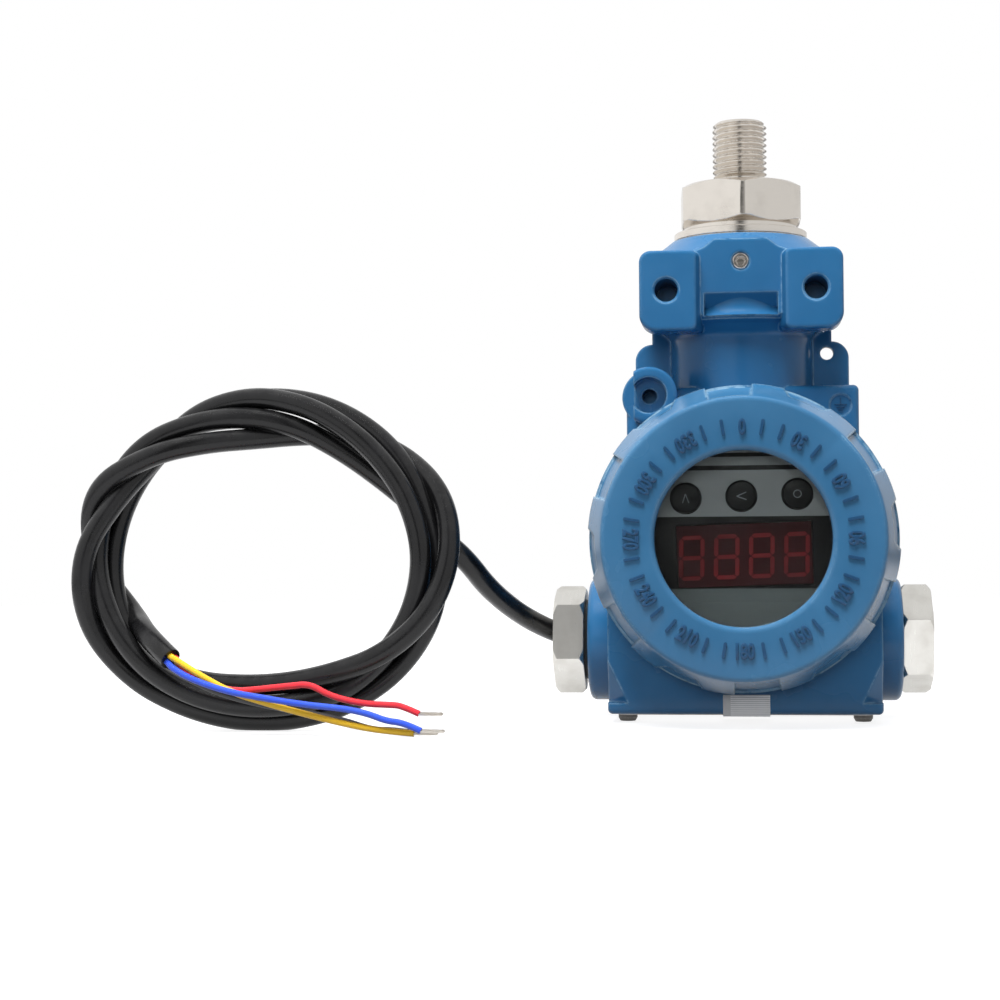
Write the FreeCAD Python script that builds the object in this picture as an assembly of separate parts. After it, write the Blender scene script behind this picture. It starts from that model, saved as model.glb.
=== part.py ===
"""Pressure transmitter in a cast two-chamber housing, with its coiled signal cable.

Frame: +Z is up with the process thread on top, -Y is the display side and +X the
side of the blanking plug. The origin lies on the floor below the middle of the
body. Lengths are millimetres and angles are degrees.
"""
import FreeCAD
import Part
import math
import os

from FreeCAD import Placement, Rotation, Vector

# ------------------------------------------------------------------ clearances
RUNNING_FIT = 0.1
MOVING_GAP = 0.3
SLIP_GAP = 0.2
THREAD_GAP = 0.1
REACH = 60.0

# ------------------------------------------------------------------ main sizes
OVERALL_HEIGHT = 150.0
OVERALL_DEPTH = 100.0
ENTRY_WIDTH = 78.2

# ------------------------------------------------------- foot, plate and screws
SCREW_HEAD_H = 1.6
SCREW_HEAD_R = 2.35
SCREW_SHANK_R = 1.25
SCREW_SHANK_L = 6.0
SCREW_X = 28.6
SCREW_Y = 20.0
SCREW_SLOT_W = 0.7
SCREW_SLOT_DEPTH = 0.7
PLATE_T = 0.5
PLATE_LENGTH = 62.0
PLATE_WIDTH = 45.0
PLATE_CORNER_R = 2.5
BOTTOM_Z = SCREW_HEAD_H + PLATE_T

# ------------------------------------------------------------------ lower block
BLOCK_HALF_X = 33.1
BLOCK_HALF_Y = 27.6
BLOCK_TOP_Z = 32.0
BLOCK_TOP_SETBACK = 1.6
BLOCK_EDGE_R = 1.2
LIP_Z = 5.8
FACET_APEX_Z = 18.8
FACET_WIDTH = 6.0

# ------------------------------------------------------------- conduit entries
CONDUIT_Z = 19.1
CONDUIT_FACE_X = ENTRY_WIDTH / 2
CONDUIT_R = 15.5
CONDUIT_EDGE_R = 1.7
CONDUIT_BORE_R = 10.0
CONDUIT_BORE_L = 13.0
POCKET_INNER_X = 13.0
POCKET_FLOOR_Z = 12.0
POCKET_TOP_Z = 34.0
POCKET_DEPTH_Y = 17.0

# ---------------------------------------------------------- barrel and chambers
AXIS_Z = 44.5
BARREL_R = 34.0
COVER_SEAT_GAP = 0.6
COVER_DEPTH = 15.0
BARREL_HALF_L = OVERALL_DEPTH / 2 - COVER_DEPTH - COVER_SEAT_GAP
THREAD_BORE_R = 30.0
THREAD_BORE_L = 10.0
CHAMBER_R = 28.5
PARTITION_T = 6.0
FEEDTHROUGH_R = 5.0
FEEDTHROUGH_UP = 14.0

# ----------------------------------------------------------- shoulders and neck
SHOULDER_HALF_X = 28.7
SHOULDER_HALF_Y = 15.0
SHOULDER_TOP_Z = 82.5
SHOULDER_EDGE_R = 1.4
NECK_R = 18.0
NECK_BORE_R = 14.2
NECK_FLOOR_Z = 86.0
PASSAGE_Y = -9.0
PASSAGE_W = 12.0
PASSAGE_T = 4.0

# ------------------------------------------------------------------------- head
HEAD_R = 24.0
HEAD_BOTTOM_Z = 95.6
HEAD_FLARE_Z = 100.5
HEAD_SHOULDER_Z = 115.5
HEAD_TOP_Z = 120.5
HEAD_TOP_R = 17.5
HEAD_FLAT_Y = 21.0
HEAD_BOTTOM_FILLET = 1.6
PAD_HALF_W = 10.1
PAD_TOP_HALF_W = 6.5
PAD_TOP_Z = 118.5
PAD_CORNER_Z = 115.7
PAD_BOTTOM_Z = 105.2
PAD_DEPTH = 8.0
POCKET_HALF_W = 9.0
POCKET_BACK_R = 18.4
POCKET_ROOF_Z = 101.6

# ------------------------------------------------------------------------- lugs
LUG_FACE_Y = 25.0
LUG_INNER_X = 10.9
LUG_ROOT_X = 9.0
LUG_OUTER_X = 24.8
LUG_BOTTOM_Z = 95.6
LUG_TOP_Z = 115.4
LUG_UNDERCUT_Y = 16.5
LUG_BACK_Y = 4.0
LUG_OUTER_TOP_R = 2.8
LUG_OUTER_BOTTOM_R = 4.0
LUG_INNER_R = 1.6
LUG_FACE_R = 0.7
LUG_HOLE_X = 18.2
LUG_HOLE_Z = 105.6
LUG_HOLE_R = 2.85
LUG_HOLE_DEPTH = 14.0
LUG_SINK_R = 3.3

# ------------------------------------------------------------------------- ears
EAR_T = 3.0
EAR_OUTER_X = 27.0
EAR_STRUT_X = 22.7
EAR_CORNER_R = 4.3
EAR_SHOULDER_Z = 94.6
TAG_HOLE_X = 21.5
TAG_HOLE_Z = 91.6
TAG_HOLE_R = 1.65
EAR_GAP_X = 20.7
EAR_GAP_TOP_Z = 98.6
EAR_GAP_BOTTOM_Z = 97.0
EAR_GAP_W = 1.9

# --------------------------------------------------------------------- cup boss
CUP_X = -22.7
CUP_Z = 80.0
CUP_FACE_Y = -24.0
CUP_OUTER_R = 7.0
CUP_INNER_R = 4.4
CUP_DEPTH = 4.5
CUP_HOLE_R = 1.85
CUP_HOLE_L = 8.0
CUP_FLAT_X = -26.4
EARTH_DISC_X = 24.6
EARTH_DISC_Z = 77.5
EARTH_DISC_R = 2.7
EARTH_DISC_DEPTH = 0.5

# ----------------------------------------------------------------------- covers
COVER_REAR_R = 37.0
COVER_FRONT_R = 32.9
COVER_FLANGE_R = 36.6
COVER_FLANGE_T = 1.2
COVER_EDGE_R = 1.1
COVER_SPIGOT_L = 9.0
COVER_SPIGOT_BORE_R = 26.5
COVER_DISH_R = 21.7
COVER_DISH_DEPTH = 1.0
COVER_ROOF_T = 5.0
WINDOW_R = 20.5
WINDOW_LIP_T = 3.0
WINDOW_LIP_R = 1.2
GLASS_BORE_R = 23.5
GLASS_BORE_BOTTOM = 3.4
GRIP_COUNT = 6
GRIP_TURN = -5.0
GRIP_WIDTH = 17.3
GRIP_DEPTH = 1.0
GRIP_END_SETBACK = 1.3
NOTCH_REAR_WIDTH = 18.5
NOTCH_MID_WIDTH = 11.5
NOTCH_LENGTH = 7.0
NOTCH_DEPTH = 0.7
GROOVE_INNER_R = 31.0
GROOVE_OUTER_R = 33.6
GROOVE_DEPTH = 2.0

# ------------------------------------------------------------------ window stack
GLASS_GASKET_T = 0.8
GLASS_GASKET_INNER_R = 20.8
GLASS_T = 5.0
RETAINER_T = 2.4
RETAINER_INNER_R = 21.5
RETAINER_SLOT_W = 2.0

# ---------------------------------------------------------------- display stack
DISPLAY_TURN = 1.8
DISPLAY_PROUD = 3.6
DISPLAY_STACK_T = 8.0
FASCIA_Y = -BARREL_HALF_L - DISPLAY_PROUD
FASCIA_T = 1.6
FASCIA_R = 25.5
LENS_T = 1.0
LENS_LEFT = -15.7
LENS_RIGHT = 16.1
LENS_BOTTOM = -11.2
LENS_TOP = 3.7
DISPLAY_BOARD_Y = FASCIA_Y + DISPLAY_STACK_T
MAIN_BOARD_Y = -16.0
BOARD_T = 1.6
BOARD_R = 25.0
POST_RADIUS = 22.0
POST_COUNT = 4
POST_TURN = 23.0
POST_R = 2.2
STANDOFF_AF = 5.0
STUD_R = 1.4
STUD_L = 1.5
BUTTON_R = 3.5
BUTTON_PITCH = 13.1
BUTTON_UP = 10.1
BUTTON_PROUD = 0.5
BUTTON_FLANGE_R = 4.4
BUTTON_FLANGE_T = 0.8
BUTTON_STEM_R = 1.5
BUTTON_TRAVEL = 0.5
SWITCH_SIZE = 6.0
SWITCH_H = 3.0

# ------------------------------------------------------ sensor link and header
CONNECTOR_W = 10.0
CONNECTOR_H = 7.0
CONNECTOR_BOTTOM = 15.5
RIBBON_W = 8.0
RIBBON_T = 0.6
HEADER_FLANGE_R = 6.5
HEADER_FLANGE_T = 1.5
HEADER_PIN_R = 0.5
HEADER_PIN_SPACING = 3.0
HEADER_PIN_OUT = 3.0
HEADER_PIN_IN = 5.0

# -------------------------------------------------------------- terminal block
TERMINAL_COUNT = 4
TERMINAL_PITCH = 9.0
TERMINAL_BLOCK_H = 16.0
TERMINAL_BLOCK_T = 8.0
TERMINAL_BLOCK_LIFT = 4.0
TERMINAL_BLOCK_DROP = 6.0
TERMINAL_SCREW_R = 2.4
TERMINAL_SCREW_H = 2.0
TERMINAL_CELL_DEPTH = 3.0
FOOT_R = 3.0

# ----------------------------------------------------------- gland and plug
HEX_AF = 24.0
GLAND_HEX_L = 7.7
GLAND_TURN = 11.5
GASKET_OD_R = 10.15
GASKET_T = 1.1
GLAND_MOUTH_R = 6.6
GLAND_BORE_R = 4.2
GLAND_STUB_L = 10.0
GROMMET_L = 8.0
PLUG_HEX_L = 7.4
PLUG_TURN = 7.3
PLUG_RING_T = 1.6
PLUG_RING_WIDTH = 1.6
HEX_CHAMFER = 1.1

# -------------------------------------------------------------- sensor module
MODULE_FLANGE_R = 16.8
MODULE_FLANGE_T = 2.2
MODULE_FLANGE_TOP_Z = 120.7
MODULE_COLLAR_R = 14.2
MODULE_BOTTOM_Z = 95.0
MODULE_RING_Z = 103.0
MODULE_RING_R = 1.0
CAPSULE_R = 9.0
CAPSULE_H = 5.0
DIAPHRAGM_T = 0.3
PROCESS_HEX_AF = 27.0
PROCESS_HEX_Z = 124.0
PROCESS_HEX_L = 9.8
PROCESS_CORNER_R = 15.1
UNDERCUT_R = 6.0
UNDERCUT_L = 1.8
THREAD_R = 6.95
THREAD_CHAMFER = 1.0
TOP_Z = OVERALL_HEIGHT
PORT_R = 1.75
DIAPHRAGM_CAVITY_H = 1.5
LOCK_SCREW_R = 2.1
LOCK_SCREW_Z = 112.9
LOCK_SCREW_PROUD = 0.2
LOCK_SOCKET_AF = 2.0
LOCK_SOCKET_DEPTH = 1.6
LOCK_TIP_GAP = 0.4

# ------------------------------------------------------------------ seal label
LABEL_LEFT = -5.2
LABEL_RIGHT = 6.1
LABEL_TOP_Z = 6.9
LABEL_FOLD = 8.0
LABEL_T = 0.2

# ---------------------------------------------------------------- signal cable
CABLE_R = 2.6
CORE_R = 0.85
TIP_R = 0.5
TIP_L = 6.0
# Every x of the cable is counted from the gland's mouth, so the cable goes with it.
MOUTH_X = -CONDUIT_FACE_X - GASKET_T - GLAND_HEX_L
# The lead runs inside the gland, out of its mouth and back round the coil.
LEAD_ROUTE = [
    Vector(MOUTH_X + 14.9, 0.0, CONDUIT_Z),
    Vector(MOUTH_X + 5.5, 0.0, CONDUIT_Z),
    Vector(MOUTH_X - 1.9, -3.0, 21.7),
    Vector(MOUTH_X - 8.6, -14.0, 26.4),
    Vector(MOUTH_X - 14.3, -26.0, 32.6),
    Vector(MOUTH_X - 18.5, -36.4, 40.4),
    Vector(MOUTH_X - 20.3, -40.2, 47.5),
]
COIL_CENTRE = Vector(MOUTH_X - 64.1, -46.5, 40.8)
COIL_HALF_W = 46.5
COIL_HALF_H = 40.2
COIL_BAND = 14.0
COIL_DEPTH = 11.0
COIL_LEAN = 9.0
COIL_EDGE_R = 4.0
COIL_END_R = 36.0
# The jacketed tail leaves the front of the coil and ends where the cores part.
TAIL_ROUTE = [
    Vector(MOUTH_X - 98.6, -55.6, 31.0),
    Vector(MOUTH_X - 93.9, -58.2, 23.6),
    Vector(MOUTH_X - 84.7, -61.0, 17.4),
]
# Each core: from beside the middle of the jacket's end to its stripped tip.
CORE_ROUTES = {
    "wire_yellow": [(-84.07, -62.26, 17.99), (-71.6, -64.0, 12.0), (-55.1, -63.6, 5.4), (-32.1, -64.0, 2.0)],
    "wire_blue": [(-85.12, -61.94, 16.27), (-71.1, -67.0, 8.8), (-53.1, -68.2, 7.6), (-28.1, -68.4, 3.4)],
    "wire_red": [(-83.47, -60.31, 17.99), (-70.1, -61.2, 13.4), (-52.1, -61.0, 11.4), (-29.1, -63.0, 6.2)],
    "wire_black": [(-84.53, -59.99, 16.27), (-73.1, -62.4, 7.6), (-56.1, -66.4, 3.0), (-31.1, -67.4, 1.1)],
}


# ============================================================== shape helpers
def box(low, high):
    """A block between two corners."""
    return Part.makeBox(high[0] - low[0], high[1] - low[1], high[2] - low[2], Vector(*low))


def rod(radius, start, direction, length):
    """A cylinder from a point along a direction."""
    return Part.makeCylinder(radius, length, Vector(*start), Vector(*direction))


def turned(profile, angle=360.0):
    """The (radius, height) outline turned about the local Z axis."""
    points = [Vector(radius, 0, height) for radius, height in profile]
    face = Part.Face(Part.makePolygon(points + points[:1]))
    return face.revolve(Vector(0, 0, 0), Vector(0, 0, 1), angle)


def pulled(points, direction):
    """A flat outline pulled along a vector."""
    corners = [Vector(*point) for point in points]
    return Part.Face(Part.makePolygon(corners + corners[:1])).extrude(Vector(*direction))


def pyramid(corners):
    """A solid with four corners."""
    a, b, c, d = [Vector(*corner) for corner in corners]
    faces = [Part.Face(Part.makePolygon(list(loop))) for loop in ((a, b, c, a), (a, b, d, a), (b, c, d, b), (a, c, d, a))]
    return Part.Solid(Part.Shell(faces))


def circles_at(solid, radius, height):
    """Edges of a turned solid that lie on one circle about its axis."""
    return [
        edge
        for edge in solid.Edges
        if isinstance(edge.Curve, Part.Circle)
        and abs(edge.Curve.Radius - radius) < 1e-4
        and abs(edge.Curve.Center.z - height) < 1e-4
    ]


def edges_where(solid, wanted):
    """Edges whose middle point passes the test."""
    return [edge for edge in solid.Edges if wanted(edge.CenterOfMass)]


def hexagon(across_flats, length, chamfer, corner_radius=None):
    """A hexagonal bar along local Z with both ends chamfered."""
    corner = across_flats / 2 / math.cos(math.radians(30))
    limit = corner if corner_radius is None else corner_radius
    corners = []
    for step in range(6):
        turn = math.radians(60 * step)
        corners.append((corner * math.cos(turn), corner * math.sin(turn), 0))
    bar = pulled(corners, (0, 0, length))
    drop = chamfer * math.tan(math.radians(30)) * 1.6
    envelope = turned([
        (0, 0),
        (limit - chamfer, 0),
        (limit, drop),
        (limit, length - drop),
        (limit - chamfer, length),
        (0, length),
    ])
    return bar.common(envelope)


def to_front(solid, seat):
    """Turns local +Z to -Y about the barrel axis; local Z = 0 lies at Y = -seat."""
    placed = solid.copy()
    placed.Placement = Placement(Vector(0, -seat, AXIS_Z), Rotation(Vector(1, 0, 0), 90))
    return placed


def to_rear(solid, seat):
    """Turns local +Z to +Y about the barrel axis; local Z = 0 lies at Y = +seat."""
    placed = solid.copy()
    about_x = Rotation(Vector(1, 0, 0), 90)
    about_z = Rotation(Vector(0, 0, 1), 180)
    placed.Placement = Placement(Vector(0, seat, AXIS_Z), about_z.multiply(about_x))
    return placed


def to_side(solid, side, face_x, turn):
    """Turns local +Z to the left (-1) or right (+1) about the conduit axis."""
    placed = solid.copy()
    spin = Rotation(Vector(0, 0, 1), turn)
    lay = Rotation(Vector(0, 1, 0), 90 * side)
    placed.Placement = Placement(Vector(side * face_x, 0, CONDUIT_Z), lay.multiply(spin))
    return placed


def on_display(solid):
    """Turns a piece of the display stack about the barrel axis, as it is fitted."""
    placed = solid.copy()
    placed.rotate(Vector(0, 0, AXIS_Z), Vector(0, -1, 0), DISPLAY_TURN)
    return placed


def circle_spots(radius, count, first):
    """(x, z) places on a circle about the barrel axis."""
    spots = []
    for step in range(count):
        turn = math.radians(first + 360.0 * step / count)
        spots.append((radius * math.cos(turn), AXIS_Z + radius * math.sin(turn)))
    return spots


def tube(route, radius, name):
    """A round tube along straight runs joined by tangent arcs."""
    edges = []
    start = route[0]
    radii = []
    length = 0.0
    for before, corner, after in zip(route, route[1:], route[2:]):
        inward = before.sub(corner).normalize()
        outward = after.sub(corner).normalize()
        turn = math.pi - inward.getAngle(outward)
        shorter = min(before.distanceToPoint(corner), corner.distanceToPoint(after))
        setback = 0.45 * shorter
        bend = setback / math.tan(turn / 2)
        radii.append(bend)
        first = corner.add(Vector(inward).multiply(setback))
        last = corner.add(Vector(outward).multiply(setback))
        bisector = inward.add(outward).normalize()
        middle = corner.add(bisector.multiply(bend / math.cos(turn / 2) - bend))
        edges.append(Part.LineSegment(start, first).toShape())
        edges.append(Part.Arc(first, middle, last).toShape())
        start = last
    edges.append(Part.LineSegment(start, route[-1]).toShape())
    path = Part.Wire(edges)
    for edge in edges:
        length += edge.Length
    heading = route[1].sub(route[0]).normalize()
    section = Part.Wire([Part.makeCircle(radius, route[0], heading)])
    solid = path.makePipeShell([section], True, False)
    expected = math.pi * radius * radius * length
    print(f"{name}: length {length:.1f}, radii {[round(r, 1) for r in radii]},"
          f" volume ratio {solid.Volume / expected:.4f}")
    return solid


# ==================================================================== housing
def lower_block():
    """The drafted foot with its lip and the sloping facets on its corners."""
    upper_y = BLOCK_HALF_Y - BLOCK_TOP_SETBACK
    side = [
        (-BLOCK_HALF_X, -BLOCK_HALF_Y, BOTTOM_Z),
        (-BLOCK_HALF_X, -BLOCK_HALF_Y, LIP_Z),
        (-BLOCK_HALF_X, -upper_y, BLOCK_TOP_Z),
        (-BLOCK_HALF_X, upper_y, BLOCK_TOP_Z),
        (-BLOCK_HALF_X, BLOCK_HALF_Y, LIP_Z),
        (-BLOCK_HALF_X, BLOCK_HALF_Y, BOTTOM_Z),
    ]
    block = pulled(side, (2 * BLOCK_HALF_X, 0, 0))
    for side_x in (-1, 1):
        for side_y in (-1, 1):
            corner = (side_x * (BLOCK_HALF_X + 1), side_y * (BLOCK_HALF_Y + 1))
            inner_x = side_x * (BLOCK_HALF_X - FACET_WIDTH)
            inner_y = side_y * (BLOCK_HALF_Y - FACET_WIDTH)
            facet = pyramid([
                (corner[0], corner[1], FACET_APEX_Z + 2.5),
                (inner_x, corner[1], LIP_Z - 1.0),
                (corner[0], inner_y, LIP_Z - 1.0),
                (corner[0], corner[1], LIP_Z - 1.0),
            ])
            block = block.cut(facet)
    rim = edges_where(block, lambda p: p.z < LIP_Z - 1.2 and (
        abs(abs(p.x) - BLOCK_HALF_X) < 0.01 or abs(abs(p.y) - BLOCK_HALF_Y) < 0.01))
    return block.makeFillet(BLOCK_EDGE_R, rim)


def conduit_bosses():
    """The round bosses on both sides, one bar through the foot."""
    bar = turned([(0, -CONDUIT_FACE_X), (CONDUIT_R, -CONDUIT_FACE_X), (CONDUIT_R, CONDUIT_FACE_X), (0, CONDUIT_FACE_X)])
    ends = circles_at(bar, CONDUIT_R, CONDUIT_FACE_X) + circles_at(bar, CONDUIT_R, -CONDUIT_FACE_X)
    bar = bar.makeFillet(CONDUIT_EDGE_R, ends)
    bar.Placement = Placement(Vector(0, 0, CONDUIT_Z), Rotation(Vector(0, 1, 0), 90))
    return bar


def shoulders():
    """The block that carries the neck above the barrel."""
    block = box(
        (-SHOULDER_HALF_X, -SHOULDER_HALF_Y, AXIS_Z),
        (SHOULDER_HALF_X, SHOULDER_HALF_Y, SHOULDER_TOP_Z),
    )
    upright = edges_where(block, lambda p: abs(abs(p.x) - SHOULDER_HALF_X) < 0.01
                          and abs(abs(p.y) - SHOULDER_HALF_Y) < 0.01)
    top = edges_where(block, lambda p: abs(p.z - SHOULDER_TOP_Z) < 0.01)
    return block.makeFillet(SHOULDER_EDGE_R, upright + top)


def neck():
    """The round neck with a fillet under the head."""
    body = turned([
        (0, SHOULDER_TOP_Z - 12),
        (NECK_R, SHOULDER_TOP_Z - 12),
        (NECK_R, HEAD_BOTTOM_Z),
        (NECK_R + 3 * HEAD_BOTTOM_FILLET, HEAD_FLARE_Z - 1),
        (0, HEAD_FLARE_Z - 1),
    ])
    return body.makeFillet(HEAD_BOTTOM_FILLET, circles_at(body, NECK_R, HEAD_BOTTOM_Z))


def lug(side):
    """One bracket lug, with its drafted inner wall and undercut back."""
    plan = [
        (side * LUG_OUTER_X, -LUG_FACE_Y, LUG_BOTTOM_Z),
        (side * LUG_INNER_X, -LUG_FACE_Y, LUG_BOTTOM_Z),
        (side * LUG_ROOT_X, -LUG_UNDERCUT_Y, LUG_BOTTOM_Z),
        (side * LUG_ROOT_X, -LUG_BACK_Y, LUG_BOTTOM_Z),
        (side * LUG_OUTER_X, -LUG_BACK_Y, LUG_BOTTOM_Z),
    ]
    solid = pulled(plan, (0, 0, LUG_TOP_Z - LUG_BOTTOM_Z))

    def along_outer(z):
        return edges_where(solid, lambda p: abs(abs(p.x) - LUG_OUTER_X) < 0.01 and abs(p.z - z) < 0.01)

    solid = solid.makeFillet(LUG_OUTER_BOTTOM_R, along_outer(LUG_BOTTOM_Z))
    solid = solid.makeFillet(LUG_OUTER_TOP_R, along_outer(LUG_TOP_Z))
    middle_x = (LUG_INNER_X + LUG_ROOT_X) / 2
    inner = edges_where(solid, lambda p: abs(abs(p.x) - middle_x) < 0.01)
    solid = solid.makeFillet(LUG_INNER_R, inner)
    face = edges_where(solid, lambda p: abs(p.y + LUG_FACE_Y) < 0.01)
    solid = solid.makeFillet(LUG_FACE_R, face)
    relief = pulled([
        (0, -LUG_UNDERCUT_Y, LUG_BOTTOM_Z - 1),
        (0, -LUG_UNDERCUT_Y, LUG_BOTTOM_Z),
        (0, -LUG_UNDERCUT_Y + 4.5, HEAD_FLARE_Z),
        (0, 0, HEAD_FLARE_Z),
        (0, 0, LUG_BOTTOM_Z - 1),
    ], (side * REACH, 0, 0))
    return solid.cut(relief)


def ear(side):
    """The flat web between head and shoulder on one side."""
    strut_top = HEAD_FLARE_Z + 1
    corner_z = EAR_SHOULDER_Z - EAR_CORNER_R
    tall = box((NECK_R - 4, -EAR_T / 2, SHOULDER_TOP_Z - 4), (EAR_STRUT_X, EAR_T / 2, strut_top))
    wide = box((NECK_R - 4, -EAR_T / 2, SHOULDER_TOP_Z - 4), (EAR_OUTER_X, EAR_T / 2, corner_z))
    round_corner = rod(EAR_CORNER_R, (EAR_OUTER_X - EAR_CORNER_R, -EAR_T / 2, corner_z), (0, 1, 0), EAR_T)
    web = tall.fuse([wide, round_corner])
    if side < 0:
        web.rotate(Vector(0, 0, 0), Vector(0, 0, 1), 180)
    return web


def head():
    """The turned head with its front flat, set-screw pad and the pocket below."""
    core = turned([
        (0, HEAD_BOTTOM_Z),
        (NECK_R, HEAD_BOTTOM_Z),
        (HEAD_R, HEAD_FLARE_Z),
        (HEAD_R, HEAD_SHOULDER_Z),
        (HEAD_TOP_R, HEAD_TOP_Z),
        (0, HEAD_TOP_Z),
    ])
    core = core.cut(box((-REACH, -REACH, HEAD_BOTTOM_Z - 1), (REACH, -HEAD_FLAT_Y, HEAD_TOP_Z + 1)))
    pad = pulled([
        (-PAD_HALF_W, -HEAD_FLAT_Y, PAD_BOTTOM_Z),
        (-PAD_HALF_W, -HEAD_FLAT_Y, PAD_CORNER_Z),
        (-PAD_TOP_HALF_W, -HEAD_FLAT_Y, PAD_TOP_Z),
        (PAD_TOP_HALF_W, -HEAD_FLAT_Y, PAD_TOP_Z),
        (PAD_HALF_W, -HEAD_FLAT_Y, PAD_CORNER_Z),
        (PAD_HALF_W, -HEAD_FLAT_Y, PAD_BOTTOM_Z),
    ], (0, PAD_DEPTH, 0))
    lugs = [lug(-1), lug(1)]
    pocket = pulled([
        (-POCKET_HALF_W, -REACH, HEAD_BOTTOM_Z - 1),
        (-POCKET_HALF_W, -REACH, PAD_BOTTOM_Z),
        (-POCKET_HALF_W, -HEAD_FLAT_Y, PAD_BOTTOM_Z),
        (-POCKET_HALF_W, -POCKET_BACK_R, POCKET_ROOF_Z),
        (-POCKET_HALF_W, 0, POCKET_ROOF_Z),
        (-POCKET_HALF_W, 0, HEAD_BOTTOM_Z - 1),
    ], (2 * POCKET_HALF_W, 0, 0))
    pocket = pocket.cut(rod(POCKET_BACK_R, (0, 0, HEAD_BOTTOM_Z - 2), (0, 0, 1), REACH))
    return core.fuse([pad] + lugs).cut(pocket)


def cup_boss():
    """The boss beside the front cover, cut flat on its outer side."""
    body = rod(CUP_OUTER_R, (CUP_X, CUP_FACE_Y, CUP_Z), (0, 1, 0), -CUP_FACE_Y - SHOULDER_HALF_Y + 3)
    front = edges_where(body, lambda p: abs(p.y - CUP_FACE_Y) < 0.01)
    body = body.makeFillet(0.8, front)
    flat = box((CUP_X - REACH, CUP_FACE_Y - 1, CUP_Z - REACH), (CUP_FLAT_X, -SHOULDER_HALF_Y, CUP_Z + REACH))
    return body.cut(flat)


def chambers():
    """Both threaded mouths and chambers, either side of the partition."""
    mouth = BARREL_HALF_L - THREAD_BORE_L
    tools = []
    for side in (-1, 1):
        tools.append(rod(THREAD_BORE_R, (0, side * mouth, AXIS_Z), (0, side, 0), REACH))
        tools.append(rod(CHAMBER_R, (0, side * PARTITION_T / 2, AXIS_Z), (0, side, 0), REACH))
    tools.append(rod(FEEDTHROUGH_R, (0, -PARTITION_T, AXIS_Z + FEEDTHROUGH_UP), (0, 1, 0), 2 * PARTITION_T))
    return tools


def conduit_bores():
    """The tapped conduit entries and the pockets that lead them to the rear chamber."""
    tools = []
    inner_x = CONDUIT_FACE_X - CONDUIT_BORE_L
    for side in (-1, 1):
        tools.append(rod(CONDUIT_BORE_R, (side * inner_x, 0, CONDUIT_Z), (side, 0, 0), CONDUIT_BORE_L + 1))
        low_x, high_x = sorted((side * POCKET_INNER_X, side * (inner_x + 1)))
        tools.append(box((low_x, PARTITION_T / 2, POCKET_FLOOR_Z), (high_x, POCKET_DEPTH_Y, POCKET_TOP_Z)))
    return tools


def neck_bores():
    """The module's bore, its counterbore and the passage to the front chamber."""
    seat_z = MODULE_FLANGE_TOP_Z - MODULE_FLANGE_T - MOVING_GAP
    bore = rod(NECK_BORE_R, (0, 0, NECK_FLOOR_Z), (0, 0, 1), REACH)
    counterbore = rod(MODULE_FLANGE_R + MOVING_GAP, (0, 0, seat_z), (0, 0, 1), REACH)
    passage = box(
        (-PASSAGE_W / 2, PASSAGE_Y - PASSAGE_T / 2, AXIS_Z + CHAMBER_R - 4),
        (PASSAGE_W / 2, PASSAGE_Y + PASSAGE_T / 2, NECK_FLOOR_Z + 1),
    )
    set_screw = rod(LOCK_SCREW_R + THREAD_GAP, (0, -HEAD_FLAT_Y - 1, LOCK_SCREW_Z), (0, 1, 0), HEAD_FLAT_Y - 5)
    return [bore, counterbore, passage, set_screw]


def bracket_holes():
    """The two blind, countersunk holes in the lugs."""
    tools = []
    for side in (-1, 1):
        start = (side * LUG_HOLE_X, -LUG_FACE_Y - 1, LUG_HOLE_Z)
        tools.append(rod(LUG_HOLE_R, start, (0, 1, 0), LUG_HOLE_DEPTH + 1))
        sink = LUG_SINK_R - LUG_HOLE_R
        cone = Part.makeCone(LUG_SINK_R, LUG_HOLE_R, sink, Vector(side * LUG_HOLE_X, -LUG_FACE_Y, LUG_HOLE_Z),
                             Vector(0, 1, 0))
        tools.append(cone)
    return tools


def small_cuts():
    """Cup and its hole, earth disc, tag hole, ear gap and plate screw holes."""
    cup_floor_y = CUP_FACE_Y + CUP_DEPTH
    tools = [
        rod(CUP_INNER_R, (CUP_X, CUP_FACE_Y - 1, CUP_Z), (0, 1, 0), CUP_DEPTH + 1),
        rod(CUP_HOLE_R, (CUP_X, cup_floor_y - 1, CUP_Z), (0, 1, 0), CUP_HOLE_L + 1),
        rod(EARTH_DISC_R, (EARTH_DISC_X - 0.4, -SHOULDER_HALF_Y - 1, EARTH_DISC_Z), (0, 1, 0), 1 + EARTH_DISC_DEPTH),
        rod(TAG_HOLE_R, (TAG_HOLE_X, -EAR_T, TAG_HOLE_Z), (0, 1, 0), 2 * EAR_T),
        pulled([
            (EAR_GAP_X - EAR_GAP_W / 2, -EAR_T, EAR_GAP_TOP_Z),
            (EAR_GAP_X + EAR_GAP_W / 2, -EAR_T, EAR_GAP_TOP_Z),
            (EAR_GAP_X, -EAR_T, EAR_GAP_BOTTOM_Z),
        ], (0, 2 * EAR_T, 0)),
    ]
    for x, y in plate_screw_spots():
        tools.append(rod(SCREW_SHANK_R + THREAD_GAP, (x, y, BOTTOM_Z - 1), (0, 0, 1), SCREW_SHANK_L + 2))
    return tools


def housing():
    """The one-piece casting."""
    barrel = rod(BARREL_R, (0, -BARREL_HALF_L, AXIS_Z), (0, 1, 0), 2 * BARREL_HALF_L)
    casting = barrel.fuse([
        lower_block(), conduit_bosses(), shoulders(), neck(), head(), ear(-1), ear(1), cup_boss(),
    ])
    cutters = chambers() + conduit_bores() + neck_bores() + bracket_holes() + small_cuts()
    return casting.cut(cutters).removeSplitter()


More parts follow.
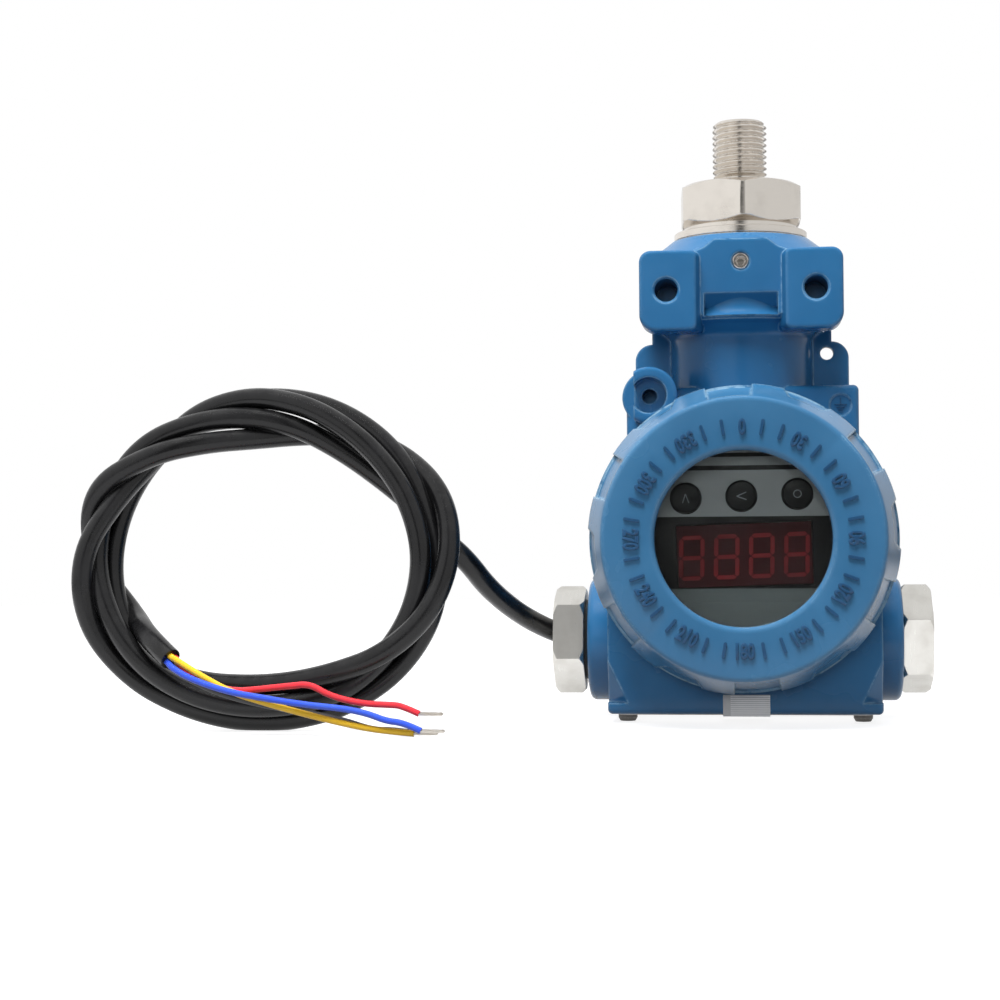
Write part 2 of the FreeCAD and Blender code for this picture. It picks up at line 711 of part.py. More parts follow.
def plate_screw_spots():
    """(x, y) of the four nameplate screws."""
    return [(sx * SCREW_X, sy * SCREW_Y) for sx in (-1, 1) for sy in (-1, 1)]


# ===================================================================== covers
def cover_cone(height):
    """Radius of the cover's tapered rim at a height above its seat."""
    share = (height - COVER_FLANGE_T) / (COVER_DEPTH - COVER_FLANGE_T)
    return COVER_REAR_R + share * (COVER_FRONT_R - COVER_REAR_R)


def rim_sector(depth, low, high, width, clock):
    """A slice of the rim, centred at an angle clockwise from up."""
    slice_ = turned([
        (cover_cone(low) - depth, low),
        (cover_cone(high) - depth, high),
        (cover_cone(high) + 3, high),
        (cover_cone(low) + 3, low),
    ], width)
    slice_.rotate(Vector(0, 0, 0), Vector(0, 0, 1), 90 - clock - width / 2)
    return slice_


def grip_cuts():
    """The long grip recesses and the short notches between them."""
    tools = []
    for step in range(GRIP_COUNT):
        clock = GRIP_TURN + 360.0 * step / GRIP_COUNT
        tools.append(rim_sector(GRIP_DEPTH, COVER_FLANGE_T, COVER_DEPTH - GRIP_END_SETBACK, GRIP_WIDTH, clock))
        notch_clock = clock + 180.0 / GRIP_COUNT
        notch = rim_sector(NOTCH_DEPTH, COVER_FLANGE_T, COVER_FLANGE_T + NOTCH_LENGTH, NOTCH_REAR_WIDTH, notch_clock)
        rear_half = COVER_REAR_R * math.radians(NOTCH_REAR_WIDTH) / 2
        mid_half = COVER_REAR_R * math.radians(NOTCH_MID_WIDTH) / 2
        outline = pulled([
            (COVER_FRONT_R / 2, -rear_half, COVER_FLANGE_T),
            (COVER_FRONT_R / 2, rear_half, COVER_FLANGE_T),
            (COVER_FRONT_R / 2, mid_half, COVER_FLANGE_T + NOTCH_LENGTH),
            (COVER_FRONT_R / 2, -mid_half, COVER_FLANGE_T + NOTCH_LENGTH),
        ], (COVER_REAR_R, 0, 0))
        outline.rotate(Vector(0, 0, 0), Vector(0, 0, 1), 90 - notch_clock)
        tools.append(notch.common(outline))
    return tools


def cover(inner_profile):
    """A threaded cover; the inner profile closes the outline from front to spigot."""
    spigot_r = THREAD_BORE_R - THREAD_GAP
    outline = [
        (COVER_SPIGOT_BORE_R, -COVER_SPIGOT_L),
        (spigot_r, -COVER_SPIGOT_L),
        (spigot_r, 0),
        (GROOVE_INNER_R, 0),
        (GROOVE_INNER_R, GROOVE_DEPTH),
        (GROOVE_OUTER_R, GROOVE_DEPTH),
        (GROOVE_OUTER_R, 0),
        (COVER_FLANGE_R, 0),
        (COVER_FLANGE_R, COVER_FLANGE_T),
        (COVER_REAR_R, COVER_FLANGE_T),
        (COVER_FRONT_R, COVER_DEPTH),
    ]
    body = turned(outline + inner_profile)
    body = body.makeFillet(COVER_EDGE_R, circles_at(body, COVER_FRONT_R, COVER_DEPTH))
    return body.cut(grip_cuts())


def front_cover():
    """The cover with the round window."""
    lip_back = COVER_DEPTH - WINDOW_LIP_T
    body = cover([
        (WINDOW_R, COVER_DEPTH),
        (WINDOW_R, lip_back),
        (GLASS_BORE_R, lip_back),
        (GLASS_BORE_R, GLASS_BORE_BOTTOM),
        (COVER_SPIGOT_BORE_R, GLASS_BORE_BOTTOM),
    ])
    return body.makeFillet(WINDOW_LIP_R, circles_at(body, WINDOW_R, COVER_DEPTH))


def rear_cover():
    """The blind cover with a shallow dish in its face."""
    return cover([
        (COVER_DISH_R, COVER_DEPTH),
        (COVER_DISH_R - COVER_DISH_DEPTH, COVER_DEPTH - COVER_DISH_DEPTH),
        (0, COVER_DEPTH - COVER_DISH_DEPTH),
        (0, COVER_DEPTH - COVER_DISH_DEPTH - COVER_ROOF_T),
        (COVER_SPIGOT_BORE_R, COVER_DEPTH - COVER_DISH_DEPTH - COVER_ROOF_T),
    ])


def cover_ring():
    """The O-ring in the cover's groove."""
    section_r = (GROOVE_OUTER_R - GROOVE_INNER_R) / 2 - MOVING_GAP
    centre_r = (GROOVE_OUTER_R + GROOVE_INNER_R) / 2
    return Part.makeTorus(centre_r, section_r, Vector(0, 0, GROOVE_DEPTH - MOVING_GAP - section_r))


def window_stack():
    """Gasket, glass and threaded retaining ring, from the front inwards."""
    lip_back = COVER_DEPTH - WINDOW_LIP_T
    glass_top = lip_back - GLASS_GASKET_T
    glass_bottom = glass_top - GLASS_T
    ring_bottom = glass_bottom - RETAINER_T
    outer = GLASS_BORE_R - SLIP_GAP
    gasket = turned([
        (GLASS_GASKET_INNER_R, glass_top), (outer, glass_top), (outer, lip_back), (GLASS_GASKET_INNER_R, lip_back),
    ])
    glass = turned([(0, glass_bottom), (outer, glass_bottom), (outer, glass_top), (0, glass_top)])
    ring_outer = GLASS_BORE_R - THREAD_GAP
    ring = turned([
        (RETAINER_INNER_R, ring_bottom), (ring_outer, ring_bottom), (ring_outer, glass_bottom),
        (RETAINER_INNER_R, glass_bottom),
    ])
    half = RETAINER_SLOT_W / 2
    slot = box((-REACH, -half, ring_bottom - 1), (REACH, half, ring_bottom + RETAINER_T / 2))
    return {"glass_gasket": gasket, "window_glass": glass, "glass_retaining_ring": ring.cut(slot)}


# ============================================================== display stack
def display_block(left, right, bottom, top, front, back):
    """A block given by its sides on the display and its front and back in Y."""
    return box((left, front, AXIS_Z + bottom), (right, back, AXIS_Z + top))


def button_spots():
    """(name, x, z) of the three buttons before the display is turned."""
    names = ("button_left", "button_middle", "button_right")
    return [(name, step * BUTTON_PITCH, AXIS_Z + BUTTON_UP) for name, step in zip(names, (-1, 0, 1))]


def display_fascia():
    """The printed front plate, with posts that stand on the display board."""
    back = FASCIA_Y + FASCIA_T
    plate = rod(FASCIA_R, (0, FASCIA_Y, AXIS_Z), (0, 1, 0), FASCIA_T)
    plate = plate.cut(display_block(LENS_LEFT, LENS_RIGHT, LENS_BOTTOM, LENS_TOP, FASCIA_Y - 1, back + 1))
    for _, x, z in button_spots():
        plate = plate.cut(rod(BUTTON_R + MOVING_GAP, (x, FASCIA_Y - 1, z), (0, 1, 0), FASCIA_T + 2))
    plate = on_display(plate)
    posts = []
    for x, z in circle_spots(POST_RADIUS, POST_COUNT, POST_TURN):
        post = rod(POST_R, (x, back, z), (0, 1, 0), DISPLAY_BOARD_Y - back)
        bore = rod(STUD_R + THREAD_GAP, (x, DISPLAY_BOARD_Y - 2 * STUD_L, z), (0, 1, 0), 2 * STUD_L)
        posts.append(post.cut(bore))
    return plate.fuse(posts)


def display_lens():
    """The tinted window flush in the fascia, resting on the digit block."""
    gap = RUNNING_FIT
    lens = display_block(
        LENS_LEFT + gap, LENS_RIGHT - gap, LENS_BOTTOM + gap, LENS_TOP - gap, FASCIA_Y, FASCIA_Y + LENS_T)
    return on_display(lens)


def led_digit_block():
    """The four-digit module between the lens and the display board."""
    gap = RUNNING_FIT
    block = display_block(
        LENS_LEFT + gap, LENS_RIGHT - gap, LENS_BOTTOM + gap, LENS_TOP - gap,
        FASCIA_Y + LENS_T, DISPLAY_BOARD_Y)
    return on_display(block)


def button(x, z):
    """One key: cap, keeping flange and stem towards its switch."""
    flange_y = FASCIA_Y + FASCIA_T + MOVING_GAP
    stem_y = flange_y + BUTTON_FLANGE_T
    switch_y = DISPLAY_BOARD_Y - SWITCH_H
    stem_end = switch_y - MOVING_GAP - BUTTON_TRAVEL
    cap = rod(BUTTON_R, (x, FASCIA_Y - BUTTON_PROUD, z), (0, 1, 0), flange_y - FASCIA_Y + BUTTON_PROUD)
    rim = edges_where(cap, lambda p: abs(p.y - FASCIA_Y + BUTTON_PROUD) < 0.01)
    cap = cap.makeFillet(0.3, rim)
    flange = rod(BUTTON_FLANGE_R, (x, flange_y, z), (0, 1, 0), BUTTON_FLANGE_T)
    stem = rod(BUTTON_STEM_R, (x, stem_y, z), (0, 1, 0), stem_end - stem_y)
    return on_display(cap.fuse([flange, stem]))


def switches():
    """The three key switches on the display board."""
    half = SWITCH_SIZE / 2
    bodies = []
    for _, x, z in button_spots():
        body = box((x - half, DISPLAY_BOARD_Y - SWITCH_H, z - half), (x + half, DISPLAY_BOARD_Y, z + half))
        bodies.append(on_display(body))
    return Part.makeCompound(bodies)


def board(front_y):
    """A round circuit board drilled for the standoff studs."""
    plate = rod(BOARD_R, (0, front_y, AXIS_Z), (0, 1, 0), BOARD_T)
    for x, z in circle_spots(POST_RADIUS, POST_COUNT, POST_TURN):
        plate = plate.cut(rod(STUD_R + THREAD_GAP, (x, front_y - 1, z), (0, 1, 0), BOARD_T + 2))
    return plate


def standoffs(front_y, back_y, stud_through):
    """Four hexagonal spacers, each with a stud through the board before it."""
    spacers = []
    for x, z in circle_spots(POST_RADIUS, POST_COUNT, POST_TURN):
        bar = hexagon(STANDOFF_AF, back_y - front_y, 0.3)
        bar.Placement = Placement(Vector(x, front_y, z), Rotation(Vector(1, 0, 0), -90))
        stud_l = BOARD_T + STUD_L if stud_through else 0
        stud = rod(STUD_R, (x, front_y - stud_l, z), (0, 1, 0), stud_l)
        spacers.append(bar.fuse(stud))
    return spacers


def board_spacers():
    """Spacers between the two boards, bored behind for the studs below."""
    spacers = []
    back = MAIN_BOARD_Y
    for spacer, (x, z) in zip(standoffs(DISPLAY_BOARD_Y + BOARD_T, back, True),
                              circle_spots(POST_RADIUS, POST_COUNT, POST_TURN)):
        spacers.append(spacer.cut(rod(STUD_R + THREAD_GAP, (x, back - 2 * STUD_L, z), (0, 1, 0), 3 * STUD_L)))
    return Part.makeCompound(spacers)


def partition_standoffs():
    """Spacers between the partition and the main board."""
    return Part.makeCompound(standoffs(MAIN_BOARD_Y + BOARD_T, -PARTITION_T / 2, True))


def board_connector():
    """The socket on the back of the main board that takes the sensor ribbon."""
    front = MAIN_BOARD_Y + BOARD_T
    back = PASSAGE_Y + RIBBON_T / 2 + 1.2
    half = CONNECTOR_W / 2
    bottom = AXIS_Z + CONNECTOR_BOTTOM
    return box((-half, front, bottom), (half, back, bottom + CONNECTOR_H))


def sensor_ribbon():
    """The flat lead from the socket up through the passage to the module."""
    bottom = AXIS_Z + CONNECTOR_BOTTOM + CONNECTOR_H
    half = RIBBON_W / 2
    return box(
        (-half, PASSAGE_Y - RIBBON_T / 2, bottom),
        (half, PASSAGE_Y + RIBBON_T / 2, MODULE_BOTTOM_Z - MOVING_GAP),
    )


def feedthrough_header():
    """The potted plug with its pins through the partition."""
    up = AXIS_Z + FEEDTHROUGH_UP
    half = PARTITION_T / 2
    plug = rod(FEEDTHROUGH_R - THREAD_GAP, (0, -half, up), (0, 1, 0), PARTITION_T)
    flange = rod(HEADER_FLANGE_R, (0, half, up), (0, 1, 0), HEADER_FLANGE_T)
    pins = []
    for step_x in (-0.5, 0.5):
        for step_z in (-0.5, 0.5):
            x = step_x * HEADER_PIN_SPACING
            z = up + step_z * HEADER_PIN_SPACING
            pin_l = HEADER_PIN_OUT + PARTITION_T + HEADER_PIN_IN
            pins.append(rod(HEADER_PIN_R, (x, -half - HEADER_PIN_OUT, z), (0, 1, 0), pin_l))
    return plug.fuse([flange] + pins)


# ============================================================ terminal block
def terminal_places():
    """x of each terminal, left to right."""
    first = -(TERMINAL_COUNT - 1) / 2
    return [(first + step) * TERMINAL_PITCH for step in range(TERMINAL_COUNT)]


def terminal_block():
    """The moulded block on its two feet, with a cell for each terminal."""
    half = TERMINAL_COUNT * TERMINAL_PITCH / 2
    low_y = PARTITION_T / 2 + TERMINAL_BLOCK_LIFT
    high_y = low_y + TERMINAL_BLOCK_T
    top = AXIS_Z - TERMINAL_BLOCK_DROP + TERMINAL_BLOCK_H / 2
    bottom = top - TERMINAL_BLOCK_H
    block = box((-half, low_y, bottom), (half, high_y, top))
    cell_half = TERMINAL_SCREW_R + 0.9
    cells = []
    for x in terminal_places():
        cells.append(box((x - cell_half, high_y - TERMINAL_CELL_DEPTH, bottom - 1),
                         (x + cell_half, high_y + 1, top - TERMINAL_BLOCK_H / 4)))
    feet = []
    for side in (-1, 1):
        foot_x = side * (half - FOOT_R)
        feet.append(rod(FOOT_R, (foot_x, PARTITION_T / 2, top - FOOT_R), (0, 1, 0), TERMINAL_BLOCK_LIFT))
    return block.cut(cells).fuse(feet)


def terminal_screws():
    """The pan-head clamp screws in the cells."""
    floor_y = PARTITION_T / 2 + TERMINAL_BLOCK_LIFT + TERMINAL_BLOCK_T - TERMINAL_CELL_DEPTH
    screws = []
    for x in terminal_places():
        head_ = rod(TERMINAL_SCREW_R, (x, floor_y, AXIS_Z - TERMINAL_BLOCK_DROP - 2), (0, 1, 0), TERMINAL_SCREW_H)
        top_y = floor_y + TERMINAL_SCREW_H
        slot = box((x - 3, top_y - 0.8, AXIS_Z - TERMINAL_BLOCK_DROP - 2.3),
                   (x + 3, top_y + 1, AXIS_Z - TERMINAL_BLOCK_DROP - 1.7))
        screws.append(head_.cut(slot))
    return Part.makeCompound(screws)


# ============================================================= gland and plug
def gland_body():
    """The cable gland: hexagon with a belled mouth, on a threaded stub."""
    hexed = hexagon(HEX_AF, GLAND_HEX_L, HEX_CHAMFER)
    stub_r = CONDUIT_BORE_R - THREAD_GAP
    stub_end = -GLAND_STUB_L - GASKET_T
    body = hexed.fuse(rod(stub_r, (0, 0, stub_end), (0, 0, 1), GLAND_STUB_L + GASKET_T))
    bore = turned([
        (0, stub_end - 1),
        (GLAND_BORE_R, stub_end - 1),
        (GLAND_BORE_R, GLAND_HEX_L / 5),
        (GLAND_MOUTH_R, GLAND_HEX_L),
        (GLAND_MOUTH_R, GLAND_HEX_L + 1),
        (0, GLAND_HEX_L + 1),
    ])
    return to_side(body.cut(bore), -1, CONDUIT_FACE_X + GASKET_T, GLAND_TURN)


def gland_gasket():
    """The rubber washer under the gland's hexagon."""
    inner = CONDUIT_BORE_R - THREAD_GAP
    washer = turned([(inner, 0), (GASKET_OD_R, 0), (GASKET_OD_R, GASKET_T), (inner, GASKET_T)])
    return to_side(washer, -1, CONDUIT_FACE_X, 0)


def gland_grommet():
    """The rubber sleeve that grips the cable inside the gland."""
    inner = CABLE_R + RUNNING_FIT / 2
    outer = GLAND_BORE_R
    sleeve = turned([(inner, -GROMMET_L), (outer, -GROMMET_L), (outer, 0), (inner, 0)])
    return to_side(sleeve, -1, CONDUIT_FACE_X, 0)


def blanking_plug():
    """The solid plug in the unused conduit entry, with its sealing groove."""
    hexed = hexagon(HEX_AF, PLUG_HEX_L, HEX_CHAMFER)
    stub = rod(CONDUIT_BORE_R - THREAD_GAP, (0, 0, -GLAND_STUB_L), (0, 0, 1), GLAND_STUB_L)
    body = hexed.fuse(stub)
    groove_r = CONDUIT_BORE_R - THREAD_GAP - PLUG_RING_WIDTH
    groove = turned([
        (groove_r, -PLUG_RING_T), (CONDUIT_BORE_R, -PLUG_RING_T), (CONDUIT_BORE_R, 0), (groove_r, 0),
    ])
    return to_side(body.cut(groove), 1, CONDUIT_FACE_X, PLUG_TURN)


def blanking_plug_seal():
    """The ring in the plug's groove."""
    inner = CONDUIT_BORE_R - THREAD_GAP - PLUG_RING_WIDTH
    ring = turned([(inner, -PLUG_RING_T), (CONDUIT_BORE_R, -PLUG_RING_T), (CONDUIT_BORE_R, 0), (inner, 0)])
    return to_side(ring, 1, CONDUIT_FACE_X, 0)


# ============================================================= sensor module
def module_body():
    """The turned module: spigot in the neck, flange on the head, collar above."""
    spigot_r = NECK_BORE_R - RUNNING_FIT
    flange_z = MODULE_FLANGE_TOP_Z - MODULE_FLANGE_T
    groove_half = MODULE_RING_R + 0.2
    groove_r = NECK_BORE_R - MOVING_GAP - 2 * MODULE_RING_R
    capsule_z = PROCESS_HEX_Z - CAPSULE_H
    return turned([
        (0, MODULE_BOTTOM_Z),
        (spigot_r, MODULE_BOTTOM_Z),
        (spigot_r, MODULE_RING_Z - groove_half),
        (groove_r, MODULE_RING_Z - groove_half),
        (groove_r, MODULE_RING_Z + groove_half),
        (spigot_r, MODULE_RING_Z + groove_half),
        (spigot_r, flange_z),
        (MODULE_FLANGE_R, flange_z),
        (MODULE_FLANGE_R, MODULE_FLANGE_TOP_Z),
        (MODULE_COLLAR_R, MODULE_FLANGE_TOP_Z),
        (MODULE_COLLAR_R, PROCESS_HEX_Z),
        (CAPSULE_R, PROCESS_HEX_Z),
        (CAPSULE_R, capsule_z),
        (0, capsule_z),
    ])


def module_ring():
    """The O-ring on the module's spigot."""
    centre_r = NECK_BORE_R - MOVING_GAP - MODULE_RING_R
    return Part.makeTorus(centre_r, MODULE_RING_R, Vector(0, 0, MODULE_RING_Z))


def sensor_capsule():
    """The pressure capsule in the top of the module."""
    low = PROCESS_HEX_Z - CAPSULE_H
    return turned([
        (0, low), (CAPSULE_R - SLIP_GAP, low), (CAPSULE_R - SLIP_GAP, PROCESS_HEX_Z - DIAPHRAGM_T),
        (0, PROCESS_HEX_Z - DIAPHRAGM_T),
    ])


def isolating_diaphragm():
    """The thin steel disc over the capsule."""
    return rod(CAPSULE_R - SLIP_GAP, (0, 0, PROCESS_HEX_Z - DIAPHRAGM_T), (0, 0, 1), DIAPHRAGM_T)


def process_fitting():
    """The hexagon and threaded stub, bored through to the diaphragm."""
    hexed = hexagon(PROCESS_HEX_AF, PROCESS_HEX_L, HEX_CHAMFER, PROCESS_CORNER_R)
    hexed.translate(Vector(0, 0, PROCESS_HEX_Z))
    hex_top = PROCESS_HEX_Z + PROCESS_HEX_L
    stub = turned([
        (0, hex_top - 1),
        (UNDERCUT_R, hex_top - 1),
        (UNDERCUT_R, hex_top + UNDERCUT_L),
        (THREAD_R, hex_top + UNDERCUT_L + (THREAD_R - UNDERCUT_R)),
        (THREAD_R, TOP_Z - THREAD_CHAMFER),
        (THREAD_R - THREAD_CHAMFER, TOP_Z),
        (0, TOP_Z),
    ])
    port = rod(PORT_R, (0, 0, PROCESS_HEX_Z - 1), (0, 0, 1), REACH)
    cavity = rod(CAPSULE_R - 1, (0, 0, PROCESS_HEX_Z - 1), (0, 0, 1), 1 + DIAPHRAGM_CAVITY_H)
    return hexed.fuse(stub).cut([port, cavity])


def lock_screw():
    """The socket set screw that keeps the module from turning."""
    start_y = -HEAD_FLAT_Y - LOCK_SCREW_PROUD
    tip_y = -(NECK_BORE_R - RUNNING_FIT) - LOCK_TIP_GAP
    body = rod(LOCK_SCREW_R, (0, start_y, LOCK_SCREW_Z), (0, 1, 0), tip_y - start_y)
    body = body.makeChamfer(0.3, edges_where(body, lambda p: abs(p.y - start_y) < 0.01))
    socket = hexagon(LOCK_SOCKET_AF, LOCK_SOCKET_DEPTH + 1, 0.01)
    socket.Placement = Placement(Vector(0, start_y - 1, LOCK_SCREW_Z), Rotation(Vector(1, 0, 0), -90))
    return body.cut(socket)


# ========================================================= plate and fasteners
def nameplate():
    """The thin bare plate under the foot."""
    half_x = PLATE_LENGTH / 2
    half_y = PLATE_WIDTH / 2
    plate = box((-half_x, -half_y, SCREW_HEAD_H), (half_x, half_y, BOTTOM_Z))
    upright = edges_where(plate, lambda p: abs(abs(p.x) - half_x) < 0.01 and abs(abs(p.y) - half_y) < 0.01)
    plate = plate.makeFillet(PLATE_CORNER_R, upright)
    for x, y in plate_screw_spots():
        plate = plate.cut(rod(SCREW_SHANK_R + THREAD_GAP, (x, y, 0), (0, 0, 1), BOTTOM_Z + 1))
    return plate


def nameplate_screws():
    """The four slotted pan-head screws that the body stands on."""
    screws = []
    for x, y in plate_screw_spots():
        head_ = turned([(0, 0), (SCREW_HEAD_R * 0.8, 0), (SCREW_HEAD_R, SCREW_HEAD_H / 2), (SCREW_HEAD_R, SCREW_HEAD_H),
                        (0, SCREW_HEAD_H)])
        shank = rod(SCREW_SHANK_R, (0, 0, SCREW_HEAD_H), (0, 0, 1), SCREW_SHANK_L)
        slot = box((-3, -SCREW_SLOT_W / 2, -1), (3, SCREW_SLOT_W / 2, SCREW_SLOT_DEPTH))
        screw = head_.fuse(shank).cut(slot)
        screw.translate(Vector(x, y, 0))
        screws.append(screw)
    return Part.makeCompound(screws)


def seal_label():
    """The striped paper seal, folded from the front of the foot under the plate."""
    front_y = -BLOCK_HALF_Y - LABEL_T
    width = LABEL_RIGHT - LABEL_LEFT
    plate_y = -PLATE_WIDTH / 2
    under_z = SCREW_HEAD_H - LABEL_T
    return pulled([
        (LABEL_LEFT, front_y, LABEL_TOP_Z),
        (LABEL_LEFT, -BLOCK_HALF_Y, LABEL_TOP_Z),
        (LABEL_LEFT, -BLOCK_HALF_Y, BOTTOM_Z - LABEL_T),
        (LABEL_LEFT, plate_y - LABEL_T, BOTTOM_Z - LABEL_T),
        (LABEL_LEFT, plate_y, SCREW_HEAD_H),
        (LABEL_LEFT, plate_y + LABEL_FOLD, SCREW_HEAD_H),
        (LABEL_LEFT, plate_y + LABEL_FOLD, under_z),
        (LABEL_LEFT, plate_y - LABEL_T, under_z),
        (LABEL_LEFT, front_y, BOTTOM_Z - 2 * LABEL_T),
    ], (width, 0, 0))


# ============================================================== signal cable
def coil_oval(inset):
    """The coil's outline of four tangent arcs, moved inwards by the inset."""
    end_x = COIL_HALF_W - COIL_END_R
    side_r = (end_x ** 2 + COIL_HALF_H ** 2 - COIL_END_R ** 2) / (2 * (COIL_HALF_H - COIL_END_R))
    drop = side_r - COIL_HALF_H
    reach = math.hypot(end_x, drop)
    join_x = end_x + (COIL_END_R - inset) * end_x / reach
    join_y = (COIL_END_R - inset) * drop / reach
    corners = [Vector(join_x, join_y), Vector(-join_x, join_y), Vector(-join_x, -join_y), Vector(join_x, -join_y)]
    middles = [
        Vector(0, COIL_HALF_H - inset), Vector(-COIL_HALF_W + inset, 0),
        Vector(0, -COIL_HALF_H + inset), Vector(COIL_HALF_W - inset, 0),
    ]
    arcs = [Part.Arc(first, middle, last).toShape()
            for first, middle, last in zip(corners, middles, corners[1:] + corners[:1])]
    return Part.Wire(arcs)


def cable_coil():
    """The coil as one rounded ring, leaning back from its lowest point."""
    outer, inner = [Part.Face(coil_oval(inset)).extrude(Vector(0, 0, COIL_DEPTH)) for inset in (0, COIL_BAND)]
    ring = outer.cut(inner)
    rims = edges_where(ring, lambda p: abs(p.z) < 0.01 or abs(p.z - COIL_DEPTH) < 0.01)
    ring = ring.makeFillet(COIL_EDGE_R, rims)
    upright = Placement(COIL_CENTRE, Rotation(Vector(1, 0, 0), 90 - COIL_LEAN))
    ring.Placement = upright.multiply(Placement(Vector(0, 0, -COIL_DEPTH / 2), Rotation()))
    return ring


def core_route(points):
    """A core's points, set out from the gland's mouth."""
    return [Vector(MOUTH_X + x, y, z) for x, y, z in points]


def cable_nodes():
    """The lead, coil, tail, cores and stripped tips."""
    nodes = {
        "cable_lead": tube(LEAD_ROUTE, CABLE_R, "cable_lead"),
        "cable_coil": cable_coil(),
        "cable_tail": tube(TAIL_ROUTE, CABLE_R, "cable_tail"),
    }
    tips = []
    for name, points in CORE_ROUTES.items():
        route = core_route(points)
        nodes[name] = tube(route, CORE_R, name)
        heading = route[-1].sub(route[-2]).normalize()
        tips.append(Part.makeCylinder(TIP_R, TIP_L, route[-1], heading))
    nodes["wire_tips"] = Part.makeCompound(tips)
    return nodes


# ==================================================================== assembly
def all_nodes():
    """Every node of the model by name."""
    seat = BARREL_HALF_L + COVER_SEAT_GAP
    nodes = {
        "housing": housing(),
        "front_cover": to_front(front_cover(), seat),
        "front_cover_oring": to_front(cover_ring(), seat),
        "rear_cover": to_rear(rear_cover(), seat),
        "rear_cover_oring": to_rear(cover_ring(), seat),
        "display_fascia": display_fascia(),
        "display_lens": display_lens(),
        "led_digit_block": led_digit_block(),
        "key_switches": switches(),
        "display_board": board(DISPLAY_BOARD_Y),
        "board_spacers": board_spacers(),
        "main_board": board(MAIN_BOARD_Y),
        "partition_standoffs": partition_standoffs(),
        "board_connector": board_connector(),
        "sensor_ribbon": sensor_ribbon(),
        "feedthrough_header": feedthrough_header(),
        "terminal_block": terminal_block(),
        "terminal_screws": terminal_screws(),
        "gland_body": gland_body(),
        "gland_gasket": gland_gasket(),
        "gland_grommet": gland_grommet(),
        "blanking_plug": blanking_plug(),
        "blanking_plug_seal": blanking_plug_seal(),
        "module_body": module_body(),
        "module_oring": module_ring(),
        "sensor_capsule": sensor_capsule(),
        "isolating_diaphragm": isolating_diaphragm(),
        "process_fitting": process_fitting(),
        "lock_screw": lock_screw(),
        "nameplate": nameplate(),
        "nameplate_screws": nameplate_screws(),
        "seal_label": seal_label(),
    }
    for name, piece in window_stack().items():
        nodes[name] = to_front(piece, seat)
    for name, x, z in button_spots():
        nodes[name] = button(x, z)
    nodes.update(cable_nodes())
    return nodes


os.makedirs("parts", exist_ok=True)
for node_name, shape in all_nodes().items():
    if not shape.isValid():
        print("not valid:", node_name)
    shape.exportStep(f"parts/{node_name}.step")
    bounds = shape.BoundBox
    print(f"{node_name}: {shape.Volume:.1f} mm3, {len(shape.Solids)} solids,"
          f" x {bounds.XMin:.1f}..{bounds.XMax:.1f}, y {bounds.YMin:.1f}..{bounds.YMax:.1f},"
          f" z {bounds.ZMin:.1f}..{bounds.ZMax:.1f}")
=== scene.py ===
"""Pressure transmitter with a display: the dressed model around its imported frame. Metres, +Z up."""

import logging
import math
from collections.abc import Callable
from dataclasses import dataclass, field
from enum import Enum
from functools import cache

import bmesh
import bpy
from mathutils import Matrix, Vector


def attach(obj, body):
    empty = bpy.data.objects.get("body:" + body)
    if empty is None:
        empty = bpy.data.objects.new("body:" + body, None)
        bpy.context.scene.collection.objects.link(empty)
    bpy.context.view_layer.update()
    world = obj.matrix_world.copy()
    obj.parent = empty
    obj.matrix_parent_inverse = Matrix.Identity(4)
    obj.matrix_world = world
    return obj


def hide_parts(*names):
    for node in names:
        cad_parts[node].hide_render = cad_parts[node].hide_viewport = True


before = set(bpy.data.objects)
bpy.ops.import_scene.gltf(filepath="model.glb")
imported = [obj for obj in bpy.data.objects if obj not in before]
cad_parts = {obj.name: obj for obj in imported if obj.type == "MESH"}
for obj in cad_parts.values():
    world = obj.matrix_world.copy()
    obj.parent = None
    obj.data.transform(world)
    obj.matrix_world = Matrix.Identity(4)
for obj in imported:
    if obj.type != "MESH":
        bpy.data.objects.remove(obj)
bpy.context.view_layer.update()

LOG = logging.getLogger("transmitter")
MM = 0.001
AXIS_Z = 44.5 * MM
RGB = tuple[float, float, float]
Point = tuple[float, float, float]
Stroke = tuple[float, float, float, float]
FACING_FRONT = Matrix.Rotation(math.pi / 2, 4, "X")
BAR_FACES = ((0, 2, 3, 1), (4, 5, 7, 6), (0, 4, 6, 2), (1, 3, 7, 5), (0, 1, 5, 4), (2, 6, 7, 3))


def linear(red: float, green: float, blue: float, alpha: float = 1.0) -> tuple[float, float, float, float]:
    """Turn an 8-bit display colour into a linear one.

    Args:
        red: Red from 0 to 255.
        green: Green from 0 to 255.
        blue: Blue from 0 to 255.
        alpha: Opacity from 0 to 1.

    Returns:
        The linear colour with its alpha.
    """

    def one(value: float) -> float:
        """Linear value of one channel."""
        share = value / 255
        return share / 12.92 if share <= 0.04045 else ((share + 0.055) / 1.055) ** 2.4

    return one(red), one(green), one(blue), alpha


